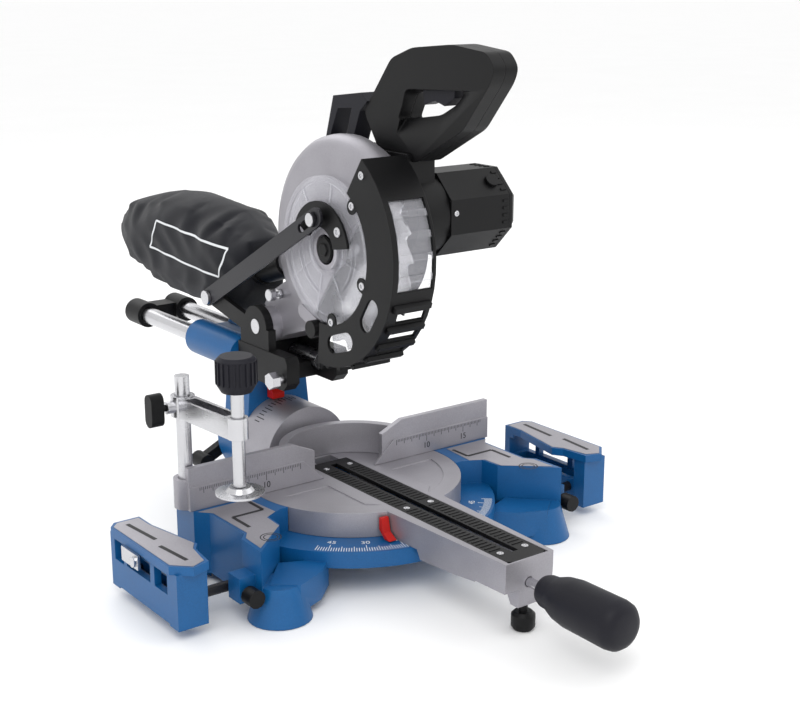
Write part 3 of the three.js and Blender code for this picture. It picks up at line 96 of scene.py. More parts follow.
class Surface(Enum):
    """How a finish's fine structure is made."""

    CAST = "cast"
    BRUSHED = "brushed"
    MOULDED = "moulded"
    PAINTED = "painted"
    WOVEN = "woven"
    CLEAR = "clear"
    PRINT = "print"


# ---------------------------------------------------------------- shader helpers


class Value:
    """A shader number. Python's operators on it add Math nodes."""

    def __init__(self, shader: "Shader", socket: Any) -> None:
        """Keeps the shader that owns the socket."""
        self.shader = shader
        self.socket = socket

    def _math(self, operation: str, a: Any, b: Any) -> "Value":
        """Adds a Math node on two numbers.

        Args:
            operation: the node's operation.
            a: the first number or value.
            b: the second number or value.

        Returns:
            The result.
        """
        return self.shader.node("ShaderNodeMath", {"operation": operation}, {0: a, 1: b})

    def __add__(self, other: Any) -> "Value":
        """Sum."""
        return self._math("ADD", self, other)

    def __mul__(self, other: Any) -> "Value":
        """Product."""
        return self._math("MULTIPLY", self, other)


class Shader:
    """A material under construction."""

    def __init__(self, name: str) -> None:
        """Makes an empty node material.

        Args:
            name: the material's name.
        """
        self.material = bpy.data.materials.new(name)
        self.material.use_nodes = True
        self.tree = self.material.node_tree
        self.tree.nodes.clear()

    def node(self, kind: str, settings: dict[str, Any], inputs: dict[Any, Any], output: Any = 0) -> Value:
        """Adds one node.

        Args:
            kind: the node's type.
            settings: its properties, set first. A "stops" entry sets a colour ramp's stops.
            inputs: values or linked sockets by input name or number.
            output: which output to return.

        Returns:
            The chosen output, wrapped.
        """
        made = self.tree.nodes.new(kind)
        for key, setting in settings.items():
            if key == "stops":
                self._ramp(made, setting)
            else:
                setattr(made, key, setting)
        for key, given in inputs.items():
            if isinstance(given, Value):
                self.tree.links.new(given.socket, made.inputs[key])
            else:
                made.inputs[key].default_value = given
        return Value(self, made.outputs[output])

    @staticmethod
    def _ramp(made: Any, stops: Sequence[tuple[float, Sequence[float]]]) -> None:
        """Sets a ramp's first and last stops.

        Args:
            made: the ramp's node.
            stops: the position and colour of each stop.
        """
        elements = made.color_ramp.elements
        for element, (position, colour) in zip(elements, stops):
            element.position = position
            element.color = (*colour[:3], 1.0)

    def place(self) -> Value:
        """Returns the object's own coordinates in metres."""
        return self.node("ShaderNodeTexCoord", {}, {}, "Object")

    def noise(self, where: Value, scale: float, detail: float = 4.0) -> Value:
        """Returns a noise value from 0 to 1.

        Args:
            where: the coordinates.
            scale: features per metre.
            detail: octaves.

        Returns:
            The noise.
        """
        return self.node("ShaderNodeTexNoise", {}, {"Vector": where, "Scale": scale, "Detail": detail}, "Fac")

    def stretched(self, where: Value, stretch: Place) -> Value:
        """Returns coordinates scaled by axis.

        Args:
            where: the coordinates.
            stretch: the factor along each axis.

        Returns:
            The scaled coordinates.
        """
        return self.node("ShaderNodeVectorMath", {"operation": "MULTIPLY"}, {0: where, 1: stretch})

    def tint(self, factor: Value, low: Sequence[float], high: Sequence[float]) -> Value:
        """Returns a colour between two by a factor.

        Args:
            factor: 0 to 1.
            low: the colour at low factors.
            high: the colour at high factors.

        Returns:
            The colour.
        """
        return self.node("ShaderNodeValToRGB", {"stops": [(0.3, low), (0.7, high)]}, {"Fac": factor})

    def bump(self, height: Value, strength: float, distance: float, edge: float = 0.0) -> Value:
        """Returns a bumped normal.

        Args:
            height: the relief, from 0 to 1.
            strength: how much of the relief shows.
            distance: the relief's depth in metres.
            edge: the radius in metres by which sharp edges are softened.

        Returns:
            The normal.
        """
        inputs: dict[Any, Any] = {"Height": height, "Strength": strength, "Distance": distance}
        if edge:
            inputs["Normal"] = self.node("ShaderNodeBevel", {"samples": 4}, {"Radius": edge})
        return self.node("ShaderNodeBump", {}, inputs)

    def finish(self, settings: dict[str, Any]) -> bpy.types.Material:
        """Adds the surface shader and the output.

        Args:
            settings: the Principled shader's inputs.

        Returns:
            The material.
        """
        surface = self.node("ShaderNodeBsdfPrincipled", {}, settings)
        self.node_output(surface)
        return self.material

    def node_output(self, surface: Value) -> None:
        """Links the surface to the material's output.

        Args:
            surface: the surface shader.
        """
        made = self.tree.nodes.new("ShaderNodeOutputMaterial")
        self.tree.links.new(surface.socket, made.inputs["Surface"])


@dataclass(frozen=True)
class Finish:
    """One real finish.

    The colour is linear, the grain is in features per metre and the relief in metres.
    """

    name: str
    surface: Surface
    colour: Place
    roughness: float
    metallic: float = 0.0
    grain: float = 900.0
    relief: float = 0.0002
    variation: float = 0.12
    specular: float = 0.5
    edge: float = 0.0

    def shades(self) -> tuple[Place, Place]:
        """Returns the darker and lighter shade of the colour."""
        low = tuple(c * (1 - self.variation) for c in self.colour)
        high = tuple(min(1.0, c * (1 + self.variation)) for c in self.colour)
        return low, high

    def build(self) -> bpy.types.Material:
        """Builds the material.

        Returns:
            The material, with detail in colour, roughness and relief.
        """
        shader = Shader(self.name)
        where = shader.place()
        if self.surface is Surface.BRUSHED:
            where = shader.stretched(where, (1.0, 0.08, 1.0))
        fine = shader.noise(where, self.grain)
        broad = shader.noise(shader.place(), BROAD_SCALE, 3.0)
        height = fine
        if self.surface is Surface.WOVEN:
            height = self._weave(shader)
        blended = height * 0.5 + broad * 0.5
        low, high = self.shades()
        inputs: dict[Any, Any] = {
            "Base Color": shader.tint(blended, low, high),
            "Roughness": broad * ROUGH_SPREAD + (self.roughness - ROUGH_SPREAD / 2) + fine * FINE_ROUGH,
            "Metallic": self.metallic,
            "Normal": shader.bump(height, RELIEF_SHARE, self.relief, self.edge),
            "Specular IOR Level": self.specular,
        }
        if self.surface is Surface.PAINTED:
            inputs["Coat Weight"] = 0.2
            inputs["Coat Roughness"] = 0.25
        if self.surface is Surface.WOVEN:
            inputs["Sheen Weight"] = 0.15
            inputs["Sheen Roughness"] = 0.6
        if self.surface is Surface.CLEAR:
            inputs["Alpha"] = broad * 0.1 + 0.13
        return shader.finish(inputs)

    def _weave(self, shader: Shader) -> Value:
        """Returns the height of warp and weft threads."""
        where = shader.place()
        bands = [
            shader.node(
                "ShaderNodeTexWave",
                {"bands_direction": direction},
                {"Vector": where, "Scale": self.grain, "Distortion": 0.6},
                "Fac",
            )
            for direction in ("Y", "Z")
        ]
        return bands[0] * 0.5 + bands[1] * 0.5


@dataclass
class Palette:
    """The finishes, and which CAD node wears which."""

    finishes: dict[str, Finish] = field(
        default_factory=lambda: {
            f.name: f
            for f in (
                Finish("blue_paint", Surface.PAINTED, (0.0015, 0.088, 0.26),
                       0.42, 0.0, 700, 0.00012, 0.14, 0.3, 0.0008),
                Finish("cast_aluminium", Surface.CAST, (0.36, 0.35, 0.38),
                       0.44, 0.7, 1100, 0.00028, 0.14, 0.5, 0.0007),
                Finish("steel", Surface.BRUSHED, (0.58, 0.58, 0.6),
                       0.24, 1.0, 1800, 0.00004, 0.08, 0.5, 0.0004),
                Finish("black_plastic", Surface.MOULDED, (0.0035, 0.0035, 0.004),
                       0.44, 0.0, 1600, 0.0002, 0.35, 0.22, 0.001),
                Finish("dark_steel", Surface.PAINTED, (0.016, 0.016, 0.02),
                       0.42, 0.3, 900, 0.0001, 0.2, 0.3, 0.0005),
                Finish("red_plastic", Surface.MOULDED, (0.5, 0.01, 0.006),
                       0.35, 0.0, 1500, 0.00005, 0.1, 0.4, 0.0005),
                Finish("clear_plastic", Surface.CLEAR, (0.72, 0.72, 0.78),
                       0.08, 0.0, 300, 0.00005, 0.06, 0.8),
                Finish("fabric", Surface.WOVEN, (0.006, 0.0065, 0.010),
                       0.92, 0.0, 420, 0.0003, 0.4, 0.15),
                Finish("soft_grip", Surface.MOULDED, (0.007, 0.007, 0.012),
                       0.5, 0.0, 1300, 0.00025, 0.25, 0.25, 0.001),
            )
        }
    )
    extra: tuple[Finish, ...] = (
        Finish("scale_print", Surface.PRINT, (0.01, 0.01, 0.012), 0.6, 0.0, 900, 0.00001, 0.1),
        Finish("white_print", Surface.PRINT, (0.7, 0.72, 0.74), 0.6, 0.0, 900, 0.00001, 0.05),
    )
    made: dict[str, bpy.types.Material] = field(default_factory=dict)

    def build(self) -> None:
        """Builds every material once."""
        for finish in (*self.finishes.values(), *self.extra):
            self.made[finish.name] = finish.build()

    def dress(self, frame: dict[str, Any]) -> None:
        """Gives each CAD node the finish that its record slot names.

        Args:
            frame: the loaded frame.
        """
        for entry in frame["record"]["subparts"]:
            node = frame["nodes"][entry["node"]]
            node.data.materials.clear()
            node.data.materials.append(self.made[entry["material_slot"]])
        LOG.info("dressed %d CAD nodes", len(frame["nodes"]))


# ---------------------------------------------------------------- mesh helpers


class Maker:
    """Turns sections given in millimetres from the turntable's axis into finished pieces in the frame."""

    def __init__(self, palette: Palette) -> None:
        """Finds the turntable's axis in the frame.

        Args:
            palette: the finishes.
        """
        self.palette = palette
        low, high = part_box("mitre_pivot_bolt")
        self.origin = Vector(((low.x + high.x) / 2, (low.y + high.y) / 2, 0.0))

    def point(self, x: float, y: float, z: float) -> Vector:
        """Returns a place in the frame, in metres."""
        return self.origin + Vector((x, y, z)) * MM

    def piece(self, name: str, mesh: bmesh.types.BMesh, body: str, slot: str, material: str | None = None,
              smooth: bool = True) -> bpy.types.Object:
        """Makes an object of a mesh and fixes it to a body.

        Args:
            name: the piece's name.
            mesh: its mesh, in the frame.
            body: the CAD body it rides on.
            slot: the record's material slot.
            material: another finish, if the slot's own isn't worn.
            smooth: whether gentle angles are shaded smooth.

        Returns:
            The object.
        """
        bmesh.ops.recalc_face_normals(mesh, faces=mesh.faces[:])
        data = bpy.data.meshes.new(name)
        mesh.to_mesh(data)
        mesh.free()
        made = bpy.data.objects.new(name, data)
        bpy.context.scene.collection.objects.link(made)
        data.materials.append(self.palette.made[material or slot])
        if smooth:
            data.shade_smooth()
            data.set_sharp_from_angle(angle=math.radians(SMOOTH_BELOW))
        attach(made, body)
        LOG.info("piece %s on %s", name, body)
        return made

    def lift(self, axis: Axis, a: float, b: float, along: float) -> Vector:
        """Returns the place of a section's point at a distance along its axis.

        Args:
            axis: the axis.
            a: the point's first coordinate.
            b: the point's second coordinate.
            along: the distance.

        Returns:
            The place in the frame, in metres.
        """
        if axis is Axis.X:
            return self.point(along, a, b)
        if axis is Axis.Y:
            return self.point(a, along, b)
        return self.point(a, b, along)

    def prism(self, mesh: bmesh.types.BMesh, axis: Axis, outline: Iterable[Point], start: float, end: float,
              round_by: float = 0.0) -> None:
        """Adds a prism with rounded edges.

        Args:
            mesh: the mesh that receives it.
            axis: its direction.
            outline: the section in millimetres.
            start: where it starts.
            end: where it ends.
            round_by: the edge radius in millimetres.
        """
        points = list(outline)
        bottom = [mesh.verts.new(self.lift(axis, a, b, start)) for a, b in points]
        top = [mesh.verts.new(self.lift(axis, a, b, end)) for a, b in points]
        made = [mesh.faces.new(bottom), mesh.faces.new(list(reversed(top)))]
        for i in range(len(points)):
            j = (i + 1) % len(points)
            made.append(mesh.faces.new((bottom[i], top[i], top[j], bottom[j])))
        if round_by:
            edges = list({edge for face in made[:2] for edge in face.edges})
            bmesh.ops.bevel(mesh, geom=edges, offset=round_by * MM, segments=2, affect="EDGES",
                             clamp_overlap=True)

    def disc(self, mesh: bmesh.types.BMesh, axis: Axis, centre: Point, radius: float, start: float,
             end: float, sides: int = 24, round_by: float = 0.0) -> None:
        """Adds a round prism.

        Args:
            mesh: the mesh that receives it.
            axis: its direction.
            centre: its place across that axis.
            radius: its radius.
            start: where it starts.
            end: where it ends.
            sides: how many sides stand for the circle.
            round_by: the edge radius.
        """
        outline = [on_circle(centre, radius, math.tau * i / sides) for i in range(sides)]
        self.prism(mesh, axis, outline, start, end, round_by)

    def screw(self, mesh: bmesh.types.BMesh, axis: Axis, centre: Point, radius: float, start: float,
              end: float) -> None:
        """Adds a screw head with a round socket.

        Args:
            mesh: the mesh that receives it.
            axis: its direction.
            centre: its place across that axis.
            radius: the head's radius.
            start: the seat.
            end: the head's outer face.
        """
        sides = 24
        rings: list[list[bmesh.types.BMVert]] = []
        depth = start + (end - start) * 0.35
        profile = [(radius, start), (radius, start + (end - start) * 0.7), (radius * 0.85, end),
                   (radius * 0.5, end), (radius * 0.46, depth)]
        for r, h in profile:
            rings.append([
                mesh.verts.new(self.lift(axis, *on_circle(centre, r, math.tau * i / sides), h))
                for i in range(sides)
            ])
        for inner, outer in zip(rings, rings[1:]):
            for i in range(sides):
                j = (i + 1) % sides
                mesh.faces.new((inner[i], inner[j], outer[j], outer[i]))
        mesh.faces.new(rings[-1])
        mesh.faces.new(list(reversed(rings[0])))


def on_circle(centre: Point, radius: float, turn: float) -> Point:
    """Returns a point of a circle.

    Args:
        centre: the circle's centre.
        radius: its radius.
        turn: the angle in radians.

    Returns:
        The point.
    """
    return centre[0] + radius * math.cos(turn), centre[1] + radius * math.sin(turn)


def side_name(side: int) -> str:
    """Returns the name of a side, -1 for left and 1 for right."""
    return "left" if side < 0 else "right"


def band(a: Point, b: Point, width: float) -> list[Point]:
    """Returns the rectangle of a line with a width.

    Args:
        a: the line's start.
        b: its end.
        width: its width.

    Returns:
        The four corners.
    """
    run = Vector((b[0] - a[0], b[1] - a[1])).normalized()
    side = Vector((-run.y, run.x)) * (width / 2)
    return [(a[0] + side.x, a[1] + side.y), (b[0] + side.x, b[1] + side.y),
            (b[0] - side.x, b[1] - side.y), (a[0] - side.x, a[1] - side.y)]


# ---------------------------------------------------------------- sub-assemblies


@dataclass
class RoundSkins:
    """Truly round skins of the castings, mouldings and turned parts, whose CAD solids have flat facets."""

    maker: Maker
    frame: dict[str, Any]
    nodes: tuple[str, ...] = (
        "base_casting", "fence", "turntable", "mitre_lock_spindle", "mitre_lock_grip",
        "adjustable_foot", "left_extension_lock", "right_extension_lock", "left_extension_rod",
        "right_extension_rod", "clamp_post", "clamp_arm", "clamp_spindle", "clamp_knob",
        "clamp_pad", "clamp_wing_screw", "tilting_arm", "bevel_lock_lever", "pivot_bracket",
        "left_rail", "right_rail", "rail_tie_bar", "pivot_shaft", "guard_link", "link_bolt",
        "head_casting", "gear_housing", "upper_brush_cap", "handle_left_half", "handle_right_half",
        "dust_port", "guard_stop_roller", "guard_disc", "guard_cover", "guard_window",
        "guard_crescent", "lock_off_button",
    )
    weld: float = 0.00001
    sharpest: float = 36.0

    def build(self) -> None:
        """Builds one skin for each node."""
        record = self.frame["record"]
        slots = {entry["node"]: entry["material_slot"] for entry in record["subparts"]}
        owners = {node: body for body, nodes in record["behaviour"]["bodies"].items() for node in nodes}
        for node in self.nodes:
            self.skin(node, slots[node], owners[node])

    def skin(self, node: str, slot: str, body: str) -> None:
        """Builds the skin that stands for one node.

        Args:
            node: the CAD node.
            slot: its material slot.
            body: the body that carries it.
        """
        source = self.frame["nodes"][node].data
        mesh = bmesh.new()
        corners = [mesh.verts.new(vertex.co) for vertex in source.vertices]
        for face in source.polygons:
            mesh.faces.new([corners[index] for index in face.vertices])
        bmesh.ops.remove_doubles(mesh, verts=mesh.verts[:], dist=self.weld)
        bmesh.ops.dissolve_degenerate(mesh, dist=self.weld, edges=mesh.edges[:])
        made = self.maker.piece(f"{node}_skin", mesh, body, slot)
        made.data.set_sharp_from_angle(angle=math.radians(self.sharpest))
        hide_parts(node)


@dataclass
class BaseTrim:
    """Bare metal table tops, slots shown as painted shade (flat dark bands), emblem rings and mitre scale."""

    maker: Maker
    table_height: float = 70.0
    ring_top: float = 45.0
    tick_inner: float = 134.0
    tick_outer: float = 142.0
    number_radius: float = 122.0
    number_size: float = 9.0
    lift_off: float = 0.02
    # height of the flat dark bands painted as shade in the slots
    mark_height: float = 0.15
    numbers: tuple[int, ...] = (0, 15, 30, 45)

    def build(self) -> None:
        """Builds every piece of the trim."""
        for side in (-1, 1):
            self.table_plate(side)
            self.extension_plate(side)
        self.mitre_ticks()
        self.mitre_numbers()

    def table_plate(self, side: int) -> None:
        """Builds a side table's machined top, with its slot drawn as painted shade (flat dark bands on the
        top).

        Args:
            side: -1 for left, 1 for right.
        """
        outline = [(179, 2), (169, -9), (168.5, -70), (176, -80), (177.5, -108), (136, -73), (134.5, -49),
                   (120, -41), (124, 2)]
        mesh = bmesh.new()
        self.maker.prism(mesh, Axis.Z, [(side * x, y) for x, y in outline], self.table_height + self.lift_off,
                         self.table_height + 0.4, 0.15)
        label = side_name(side)
        self.maker.piece(f"{label}_table_top", mesh, "base", "cast_aluminium", smooth=False)
        mesh = bmesh.new()
        top = self.table_height + 0.42
        # The slot is painted shade: flat dark bands lie on the machined top where the real groove shows dark
        # shade.
        for line in (((127, -30), (127, -5)), ((127, -30), (160, -30)), ((160, -30), (160, -60))):
            a, b = ((side * x, y) for x, y in line)
            self.maker.prism(mesh, Axis.Z, band(a, b, 3.6), top, top + self.mark_height)
        centre = (side * 157, -92)
        for radius in (9.5, 6.5):
            self.circle(mesh, centre, radius, 1.0, top)
        self.maker.piece(f"{label}_table_slot_shade_and_rings", mesh, "base", "black_plastic", "scale_print", smooth=False)

    def circle(self, mesh: bmesh.types.BMesh, centre: Point, radius: float, width: float,
               height: float) -> None:
        """Adds a flat ring of short bands.

        Args:
            mesh: the mesh that receives it.
            centre: its centre.
            radius: its radius.
            width: its width.
            height: where it lies.
        """
        sides = 24
        ends = [on_circle(centre, radius, math.tau * i / sides) for i in range(sides + 1)]
        for a, b in zip(ends, ends[1:]):
            self.maker.prism(mesh, Axis.Z, band(a, b, width), height, height + 0.1)

    def extension_plate(self, side: int) -> None:
        """Builds a side extension's machined top with two slots drawn as painted shade (flat dark bands).

        Args:
            side: -1 for left, 1 for right.
        """
        outline = [(231, 23), (253, 23), (260, 16), (260, -92), (245, -107), (231, -101), (226, -72),
                   (219, -62), (231, 0)]
        label = side_name(side)
        mesh = bmesh.new()
        self.maker.prism(mesh, Axis.Z, [(side * x, y) for x, y in outline], self.table_height + self.lift_off,
                         self.table_height + 0.5, 0.15)
        body = f"{label}_extension"
        self.maker.piece(f"{label}_extension_top", mesh, body, "cast_aluminium", smooth=False)
        mesh = bmesh.new()
        top = self.table_height + 0.52
        # The two slots are painted shade: flat dark bands on the machined top where the real grooves show
        # dark shade.
        for near, far in ((-92, -50), (-34, 14)):
            self.maker.prism(mesh, Axis.Z, band((side * 243, near), (side * 247, far), 4), top,
                             top + self.mark_height)
        self.maker.piece(f"{label}_extension_slot_shade", mesh, body, "black_plastic", "scale_print", smooth=False)

    def mitre_ticks(self) -> None:
        """Builds the printed degree marks on the scale ring."""
        mesh = bmesh.new()
        for degrees in range(-50, 51):
            turn = math.radians(degrees)
            inner = self.tick_inner - (6 if degrees % 15 == 0 else 3 if degrees % 5 == 0 else 0)
            out = (math.sin(turn), -math.cos(turn))
            a, b = ((radius * out[0], radius * out[1]) for radius in (inner, self.tick_outer))
            self.maker.prism(mesh, Axis.Z, band(a, b, 0.7), self.ring_top + 0.05, self.ring_top + 0.15)
        self.maker.piece("mitre_scale_marks", mesh, "base", "blue_paint", "white_print", smooth=False)

    def mitre_numbers(self) -> None:
        """Builds the numbers of the mitre scale."""
        for value in self.numbers:
            for sign in ((1,) if value == 0 else (-1, 1)):
                turn = math.radians(sign * value)
                place = self.maker.point(self.number_radius * math.sin(turn),
                                         -self.number_radius * math.cos(turn), self.ring_top + 0.1)
                text_piece(self.maker, f"mitre_number_{'l' if sign < 0 else 'r'}{value}", str(value), place,
                           Matrix.Rotation(turn, 4, "Z"), self.number_size, "base", "white_print",
                           "blue_paint")


def text_piece(maker: Maker, name: str, text: str, place: Vector, turn: Matrix, height: float, body: str,
               finish: str, slot: str) -> None:
    """Makes a printed number as a mesh.

    Args:
        maker: the piece maker.
        name: the piece's name.
        text: the number.
        place: its centre, in metres.
        turn: its orientation.
        height: its height in millimetres.
        body: the body it rides on.
        finish: its finish.
        slot: its record slot.
    """
    curve = bpy.data.curves.new(name, "FONT")
    curve.body = text
    curve.size = height * MM
    curve.extrude = 0.00005
    curve.align_x = "CENTER"
    curve.align_y = "CENTER"
    temporary = bpy.data.objects.new(name + "_text", curve)
    bpy.context.scene.collection.objects.link(temporary)
    bpy.context.view_layer.update()
    data = bpy.data.meshes.new_from_object(temporary)
    bpy.data.objects.remove(temporary)
    data.transform(Matrix.Translation(place) @ turn)
    mesh = bmesh.new()
    mesh.from_mesh(data)
    maker.piece(name, mesh, body, slot, finish, smooth=False)


@dataclass
class FenceRuler:
    """Centimetre marks and numbers on both halves of the fence."""

    maker: Maker
    bottom: float = 70.3
    face: float = 6.0
    strip_top: float = 93.5
    first: int = 60
    last: int = 175

    def build(self) -> None:
        """Builds the ruler marks, then the numbers."""
        for side in (-1, 1):
            mesh = bmesh.new()
            for place in range(self.first, self.last + 1, 2):
                length = 9 if place % 50 == 0 else 6 if place % 10 == 0 else 3
                start = self.strip_top - 1
                outline = band((side * place, start), (side * place, start - length), 0.5)
                self.maker.prism(mesh, Axis.Y, outline, self.face - 0.12, self.face - 0.02)
            label = side_name(side)
            self.maker.piece(f"{label}_ruler_marks", mesh, "base", "cast_aluminium", "scale_print",
                             smooth=False)
            for value in (10, 15):
                place = self.maker.point(side * value * 10, self.face - 0.1, self.strip_top - 15)
                text_piece(self.maker, f"{label}_ruler_{value}", str(value), place,
                           Matrix.Rotation(math.radians(90), 4, "X"), 9.0, "base", "scale_print",
                           "cast_aluminium")


@dataclass
class TurntableTrim:
    """Insert screws and ribs, and marks on the bevel housing."""

    maker: Maker
    insert_top: float = 69.8
    screw_rows: tuple[float, ...] = (27.0, -109.0, -245.0)
    screw_place: float = 14.6
    screw_radius: float = 3.2
    first_rib: float = -236.0
    rib_pitch: float = 6.0
    rib_count: int = 44
    housing_radius: float = 50.0
    axis_height: float = 70.0

    def build(self) -> None:
        """Builds every piece on the turntable."""
        mesh = bmesh.new()
        for y in self.screw_rows:
            for x in (-self.screw_place, self.screw_place):
                self.maker.screw(mesh, Axis.Z, (x, y), self.screw_radius, self.insert_top,
                                 self.insert_top + 0.8)
        self.maker.piece("insert_screws", mesh, "turntable", "steel")
        mesh = bmesh.new()
        for i in range(self.rib_count):
            y = self.first_rib + i * self.rib_pitch
            if min(abs(y - row) for row in self.screw_rows) < self.rib_pitch:
                continue
            for side in (-1, 1):
                outline = band((side * 7, y), (side * 20, y), 1.6)
                self.maker.prism(mesh, Axis.Z, outline, self.insert_top, self.insert_top + 0.5, 0.2)
        self.maker.piece("insert_ribs", mesh, "turntable", "black_plastic", smooth=False)
        self.bevel_marks()

    def bevel_marks(self) -> None:
        """Builds the bevel scale on the round housing."""
        mesh = bmesh.new()
        radius = self.housing_radius + 0.1
        for degrees in range(-10, 51, 5):
            turn = math.radians(-degrees)
            out = Vector((math.sin(turn), 0, math.cos(turn)))
            side = Vector((math.cos(turn), 0, -math.sin(turn)))
            length = 14 if degrees % 15 == 0 else 9
            corners = []
            for height in (radius - 0.3, radius + 0.05):
                for y, w in ((128, -0.5), (128, 0.5), (128 - length, 0.5), (128 - length, -0.5)):
                    spot = out * height + side * w
                    corners.append(mesh.verts.new(self.maker.point(spot.x, y, self.axis_height + spot.z)))
            mesh.faces.new(corners[:4])
            mesh.faces.new(list(reversed(corners[4:])))
            for i in range(4):
                j = (i + 1) % 4
                mesh.faces.new((corners[i], corners[4 + i], corners[4 + j], corners[j]))
        self.maker.piece("bevel_scale_marks", mesh, "turntable", "cast_aluminium", "scale_print",
                         smooth=False)


@dataclass
class GuardTrim:
    """Screws and raised ribs of the swinging guard, and clear panes in its oval holes."""

    maker: Maker
    centre: Point = (6.0, 305.0)
    link_pin: Point = (6.0, 336.0)
    rim: float = 116.0
    rib_height: float = 4.0
    pane: Point = (83.0, 103.0)
    screw_spots: tuple[Point, ...] = ((71.0, -78.0), (71.0, -20.0), (71.0, 44.0), (104.0, 50.0))
    left: float = -30.5
    right: float = 19.0

    def around(self, radius: float, degrees: float) -> Point:
        """Returns a point at a radius and an angle counted from the front, up and over.

        Args:
            radius: the distance from the blade's axis.
            degrees: the angle.

        Returns:
            The point.
        """
        turn = math.radians(degrees)
        return self.centre[0] - radius * math.cos(turn), self.centre[1] + radius * math.sin(turn)

    def build(self) -> None:
        """Builds the guard's details."""
        mesh = bmesh.new()
        for radius, angle in self.screw_spots:
            self.maker.screw(mesh, Axis.X, self.around(radius, angle), 4.0, self.left, self.left - 1.6)
        self.maker.screw(mesh, Axis.X, self.around(39, 35), 5.0, self.left - 3, self.left - 5)
        self.maker.piece("guard_screws", mesh, "lower_guard", "steel")
        mesh = bmesh.new()
        self.maker.disc(mesh, Axis.X, self.link_pin, 6.6, -45.6, -44.5, 28, 0.4)
        self.maker.piece("link_pin_cap", mesh, "link", "steel")
        mesh = bmesh.new()
        self.maker.disc(mesh, Axis.X, self.centre, 13, -28.5, -14.5, 28, 1.0)
        self.maker.disc(mesh, Axis.X, self.centre, 7, -30, -28, 6, 0.4)
        self.maker.piece("arbor_cover", mesh, "head", "black_plastic")
        mesh = bmesh.new()
        for angle in (-20, -32, -44, -56, -68, -80, -90):
            tip = self.rim + self.rib_height
            outline = [self.around(self.rim, angle - 2), self.around(tip, angle - 1.2),
                       self.around(tip, angle + 1.2), self.around(self.rim, angle + 2)]
            self.maker.prism(mesh, Axis.X, outline, self.left + 4, self.right - 2, 0.5)
        self.maker.piece("guard_ribs", mesh, "lower_guard", "black_plastic", smooth=False)
        mesh = bmesh.new()
        for low, high in ((-42, -26), (-82, -62)):
            steps = 6
            angles = [low + (high - low) * i / steps for i in range(steps + 1)]
            outline = [self.around(self.pane[1], a) for a in angles]
            outline += [self.around(self.pane[0], a) for a in reversed(angles)]
            self.maker.prism(mesh, Axis.X, outline, self.left + 3.2, self.left + 4.2)
        self.maker.piece("guard_oval_panes", mesh, "lower_guard", "clear_plastic", smooth=False)


@dataclass
class HeadTrim:
    """Cooling ribs and screws of the motor, screws of the handle, and the depth screw on the head's arm."""

    maker: Maker
    motor: Point = (-38.0, 338.0)
    motor_radius: float = 44.0
    motor_end: float = 135.0
    nose_end: float = 149.3
    handle_face: float = 56.0
    handle_spots: tuple[Point, ...] = ((-160.0, 475.0), (-66.0, 405.0), (0.0, 438.0), (-24.0, 473.0))
    front_screw: float = 68.0
    cap_screws: float = 26.0
    rib_height: float = 0.9
    depth_axis: Point = (108.0, 241.0)

    def build(self) -> None:
        """Builds the head's details."""
        self.cooling_ribs()
        self.motor_screws()
        self.handle_screws()
        self.depth_screw()

    def apothem(self) -> float:
        """Returns the distance from the motor's axis to its flats."""
        return self.motor_radius * math.cos(math.radians(22.5))

    def cooling_ribs(self) -> None:
        """Builds the short ribs round the rear edge of the motor's shell."""
        mesh = bmesh.new()
        for facet in range(8):
            turn = math.radians(45 * facet)
            out = Vector((math.cos(turn), math.sin(turn)))
            side = Vector((-out.y, out.x))
            for shift in (-10.5, -3.5, 3.5, 10.5):
                base = Vector(self.motor) + out * self.apothem() + side * shift
                tip = base + out * self.rib_height
                outline = band((base.x, base.y), (tip.x, tip.y), 2.6)
                self.maker.prism(mesh, Axis.X, outline, self.motor_end - 8, self.motor_end - 1, 0.3)
        self.maker.piece("motor_ribs", mesh, "head", "black_plastic", smooth=False)

    def motor_screws(self) -> None:
        """Builds the end cap's screws and the screw in the motor's front flat."""
        mesh = bmesh.new()
        for degrees in (45, 135, 225, 315):
            turn = math.radians(degrees)
            centre = on_circle(self.motor, self.cap_screws, turn)
            self.maker.screw(mesh, Axis.X, centre, 2.6, self.nose_end, self.nose_end + 1.4)
        front = self.motor[0] - self.apothem()
        self.maker.screw(mesh, Axis.Y, (self.front_screw, self.motor[1] + 4), 2.8, front, front - 1.2)
        self.maker.piece("motor_screws", mesh, "head", "steel")

    def handle_screws(self) -> None:
        """Builds the screws that hold the handle halves together, on the right-hand half."""
        mesh = bmesh.new()
        for y, z in self.handle_spots:
            self.maker.screw(mesh, Axis.X, (y, z), 3.2, self.handle_face, self.handle_face + 0.8)
        self.maker.piece("handle_screws", mesh, "head", "steel")

    def depth_screw(self) -> None:
        """Builds the knurled screw with its lock nut on the left of the head's arm."""
        mesh = bmesh.new()
        self.maker.disc(mesh, Axis.X, self.depth_axis, 3.0, -24, -14.6, 16)
        self.maker.disc(mesh, Axis.X, self.depth_axis, 5.4, -18.4, -15.4, 6, 0.3)
        self.maker.disc(mesh, Axis.X, self.depth_axis, 6.4, -30, -23, 20, 0.5)
        self.maker.piece("depth_screw", mesh, "head", "steel")


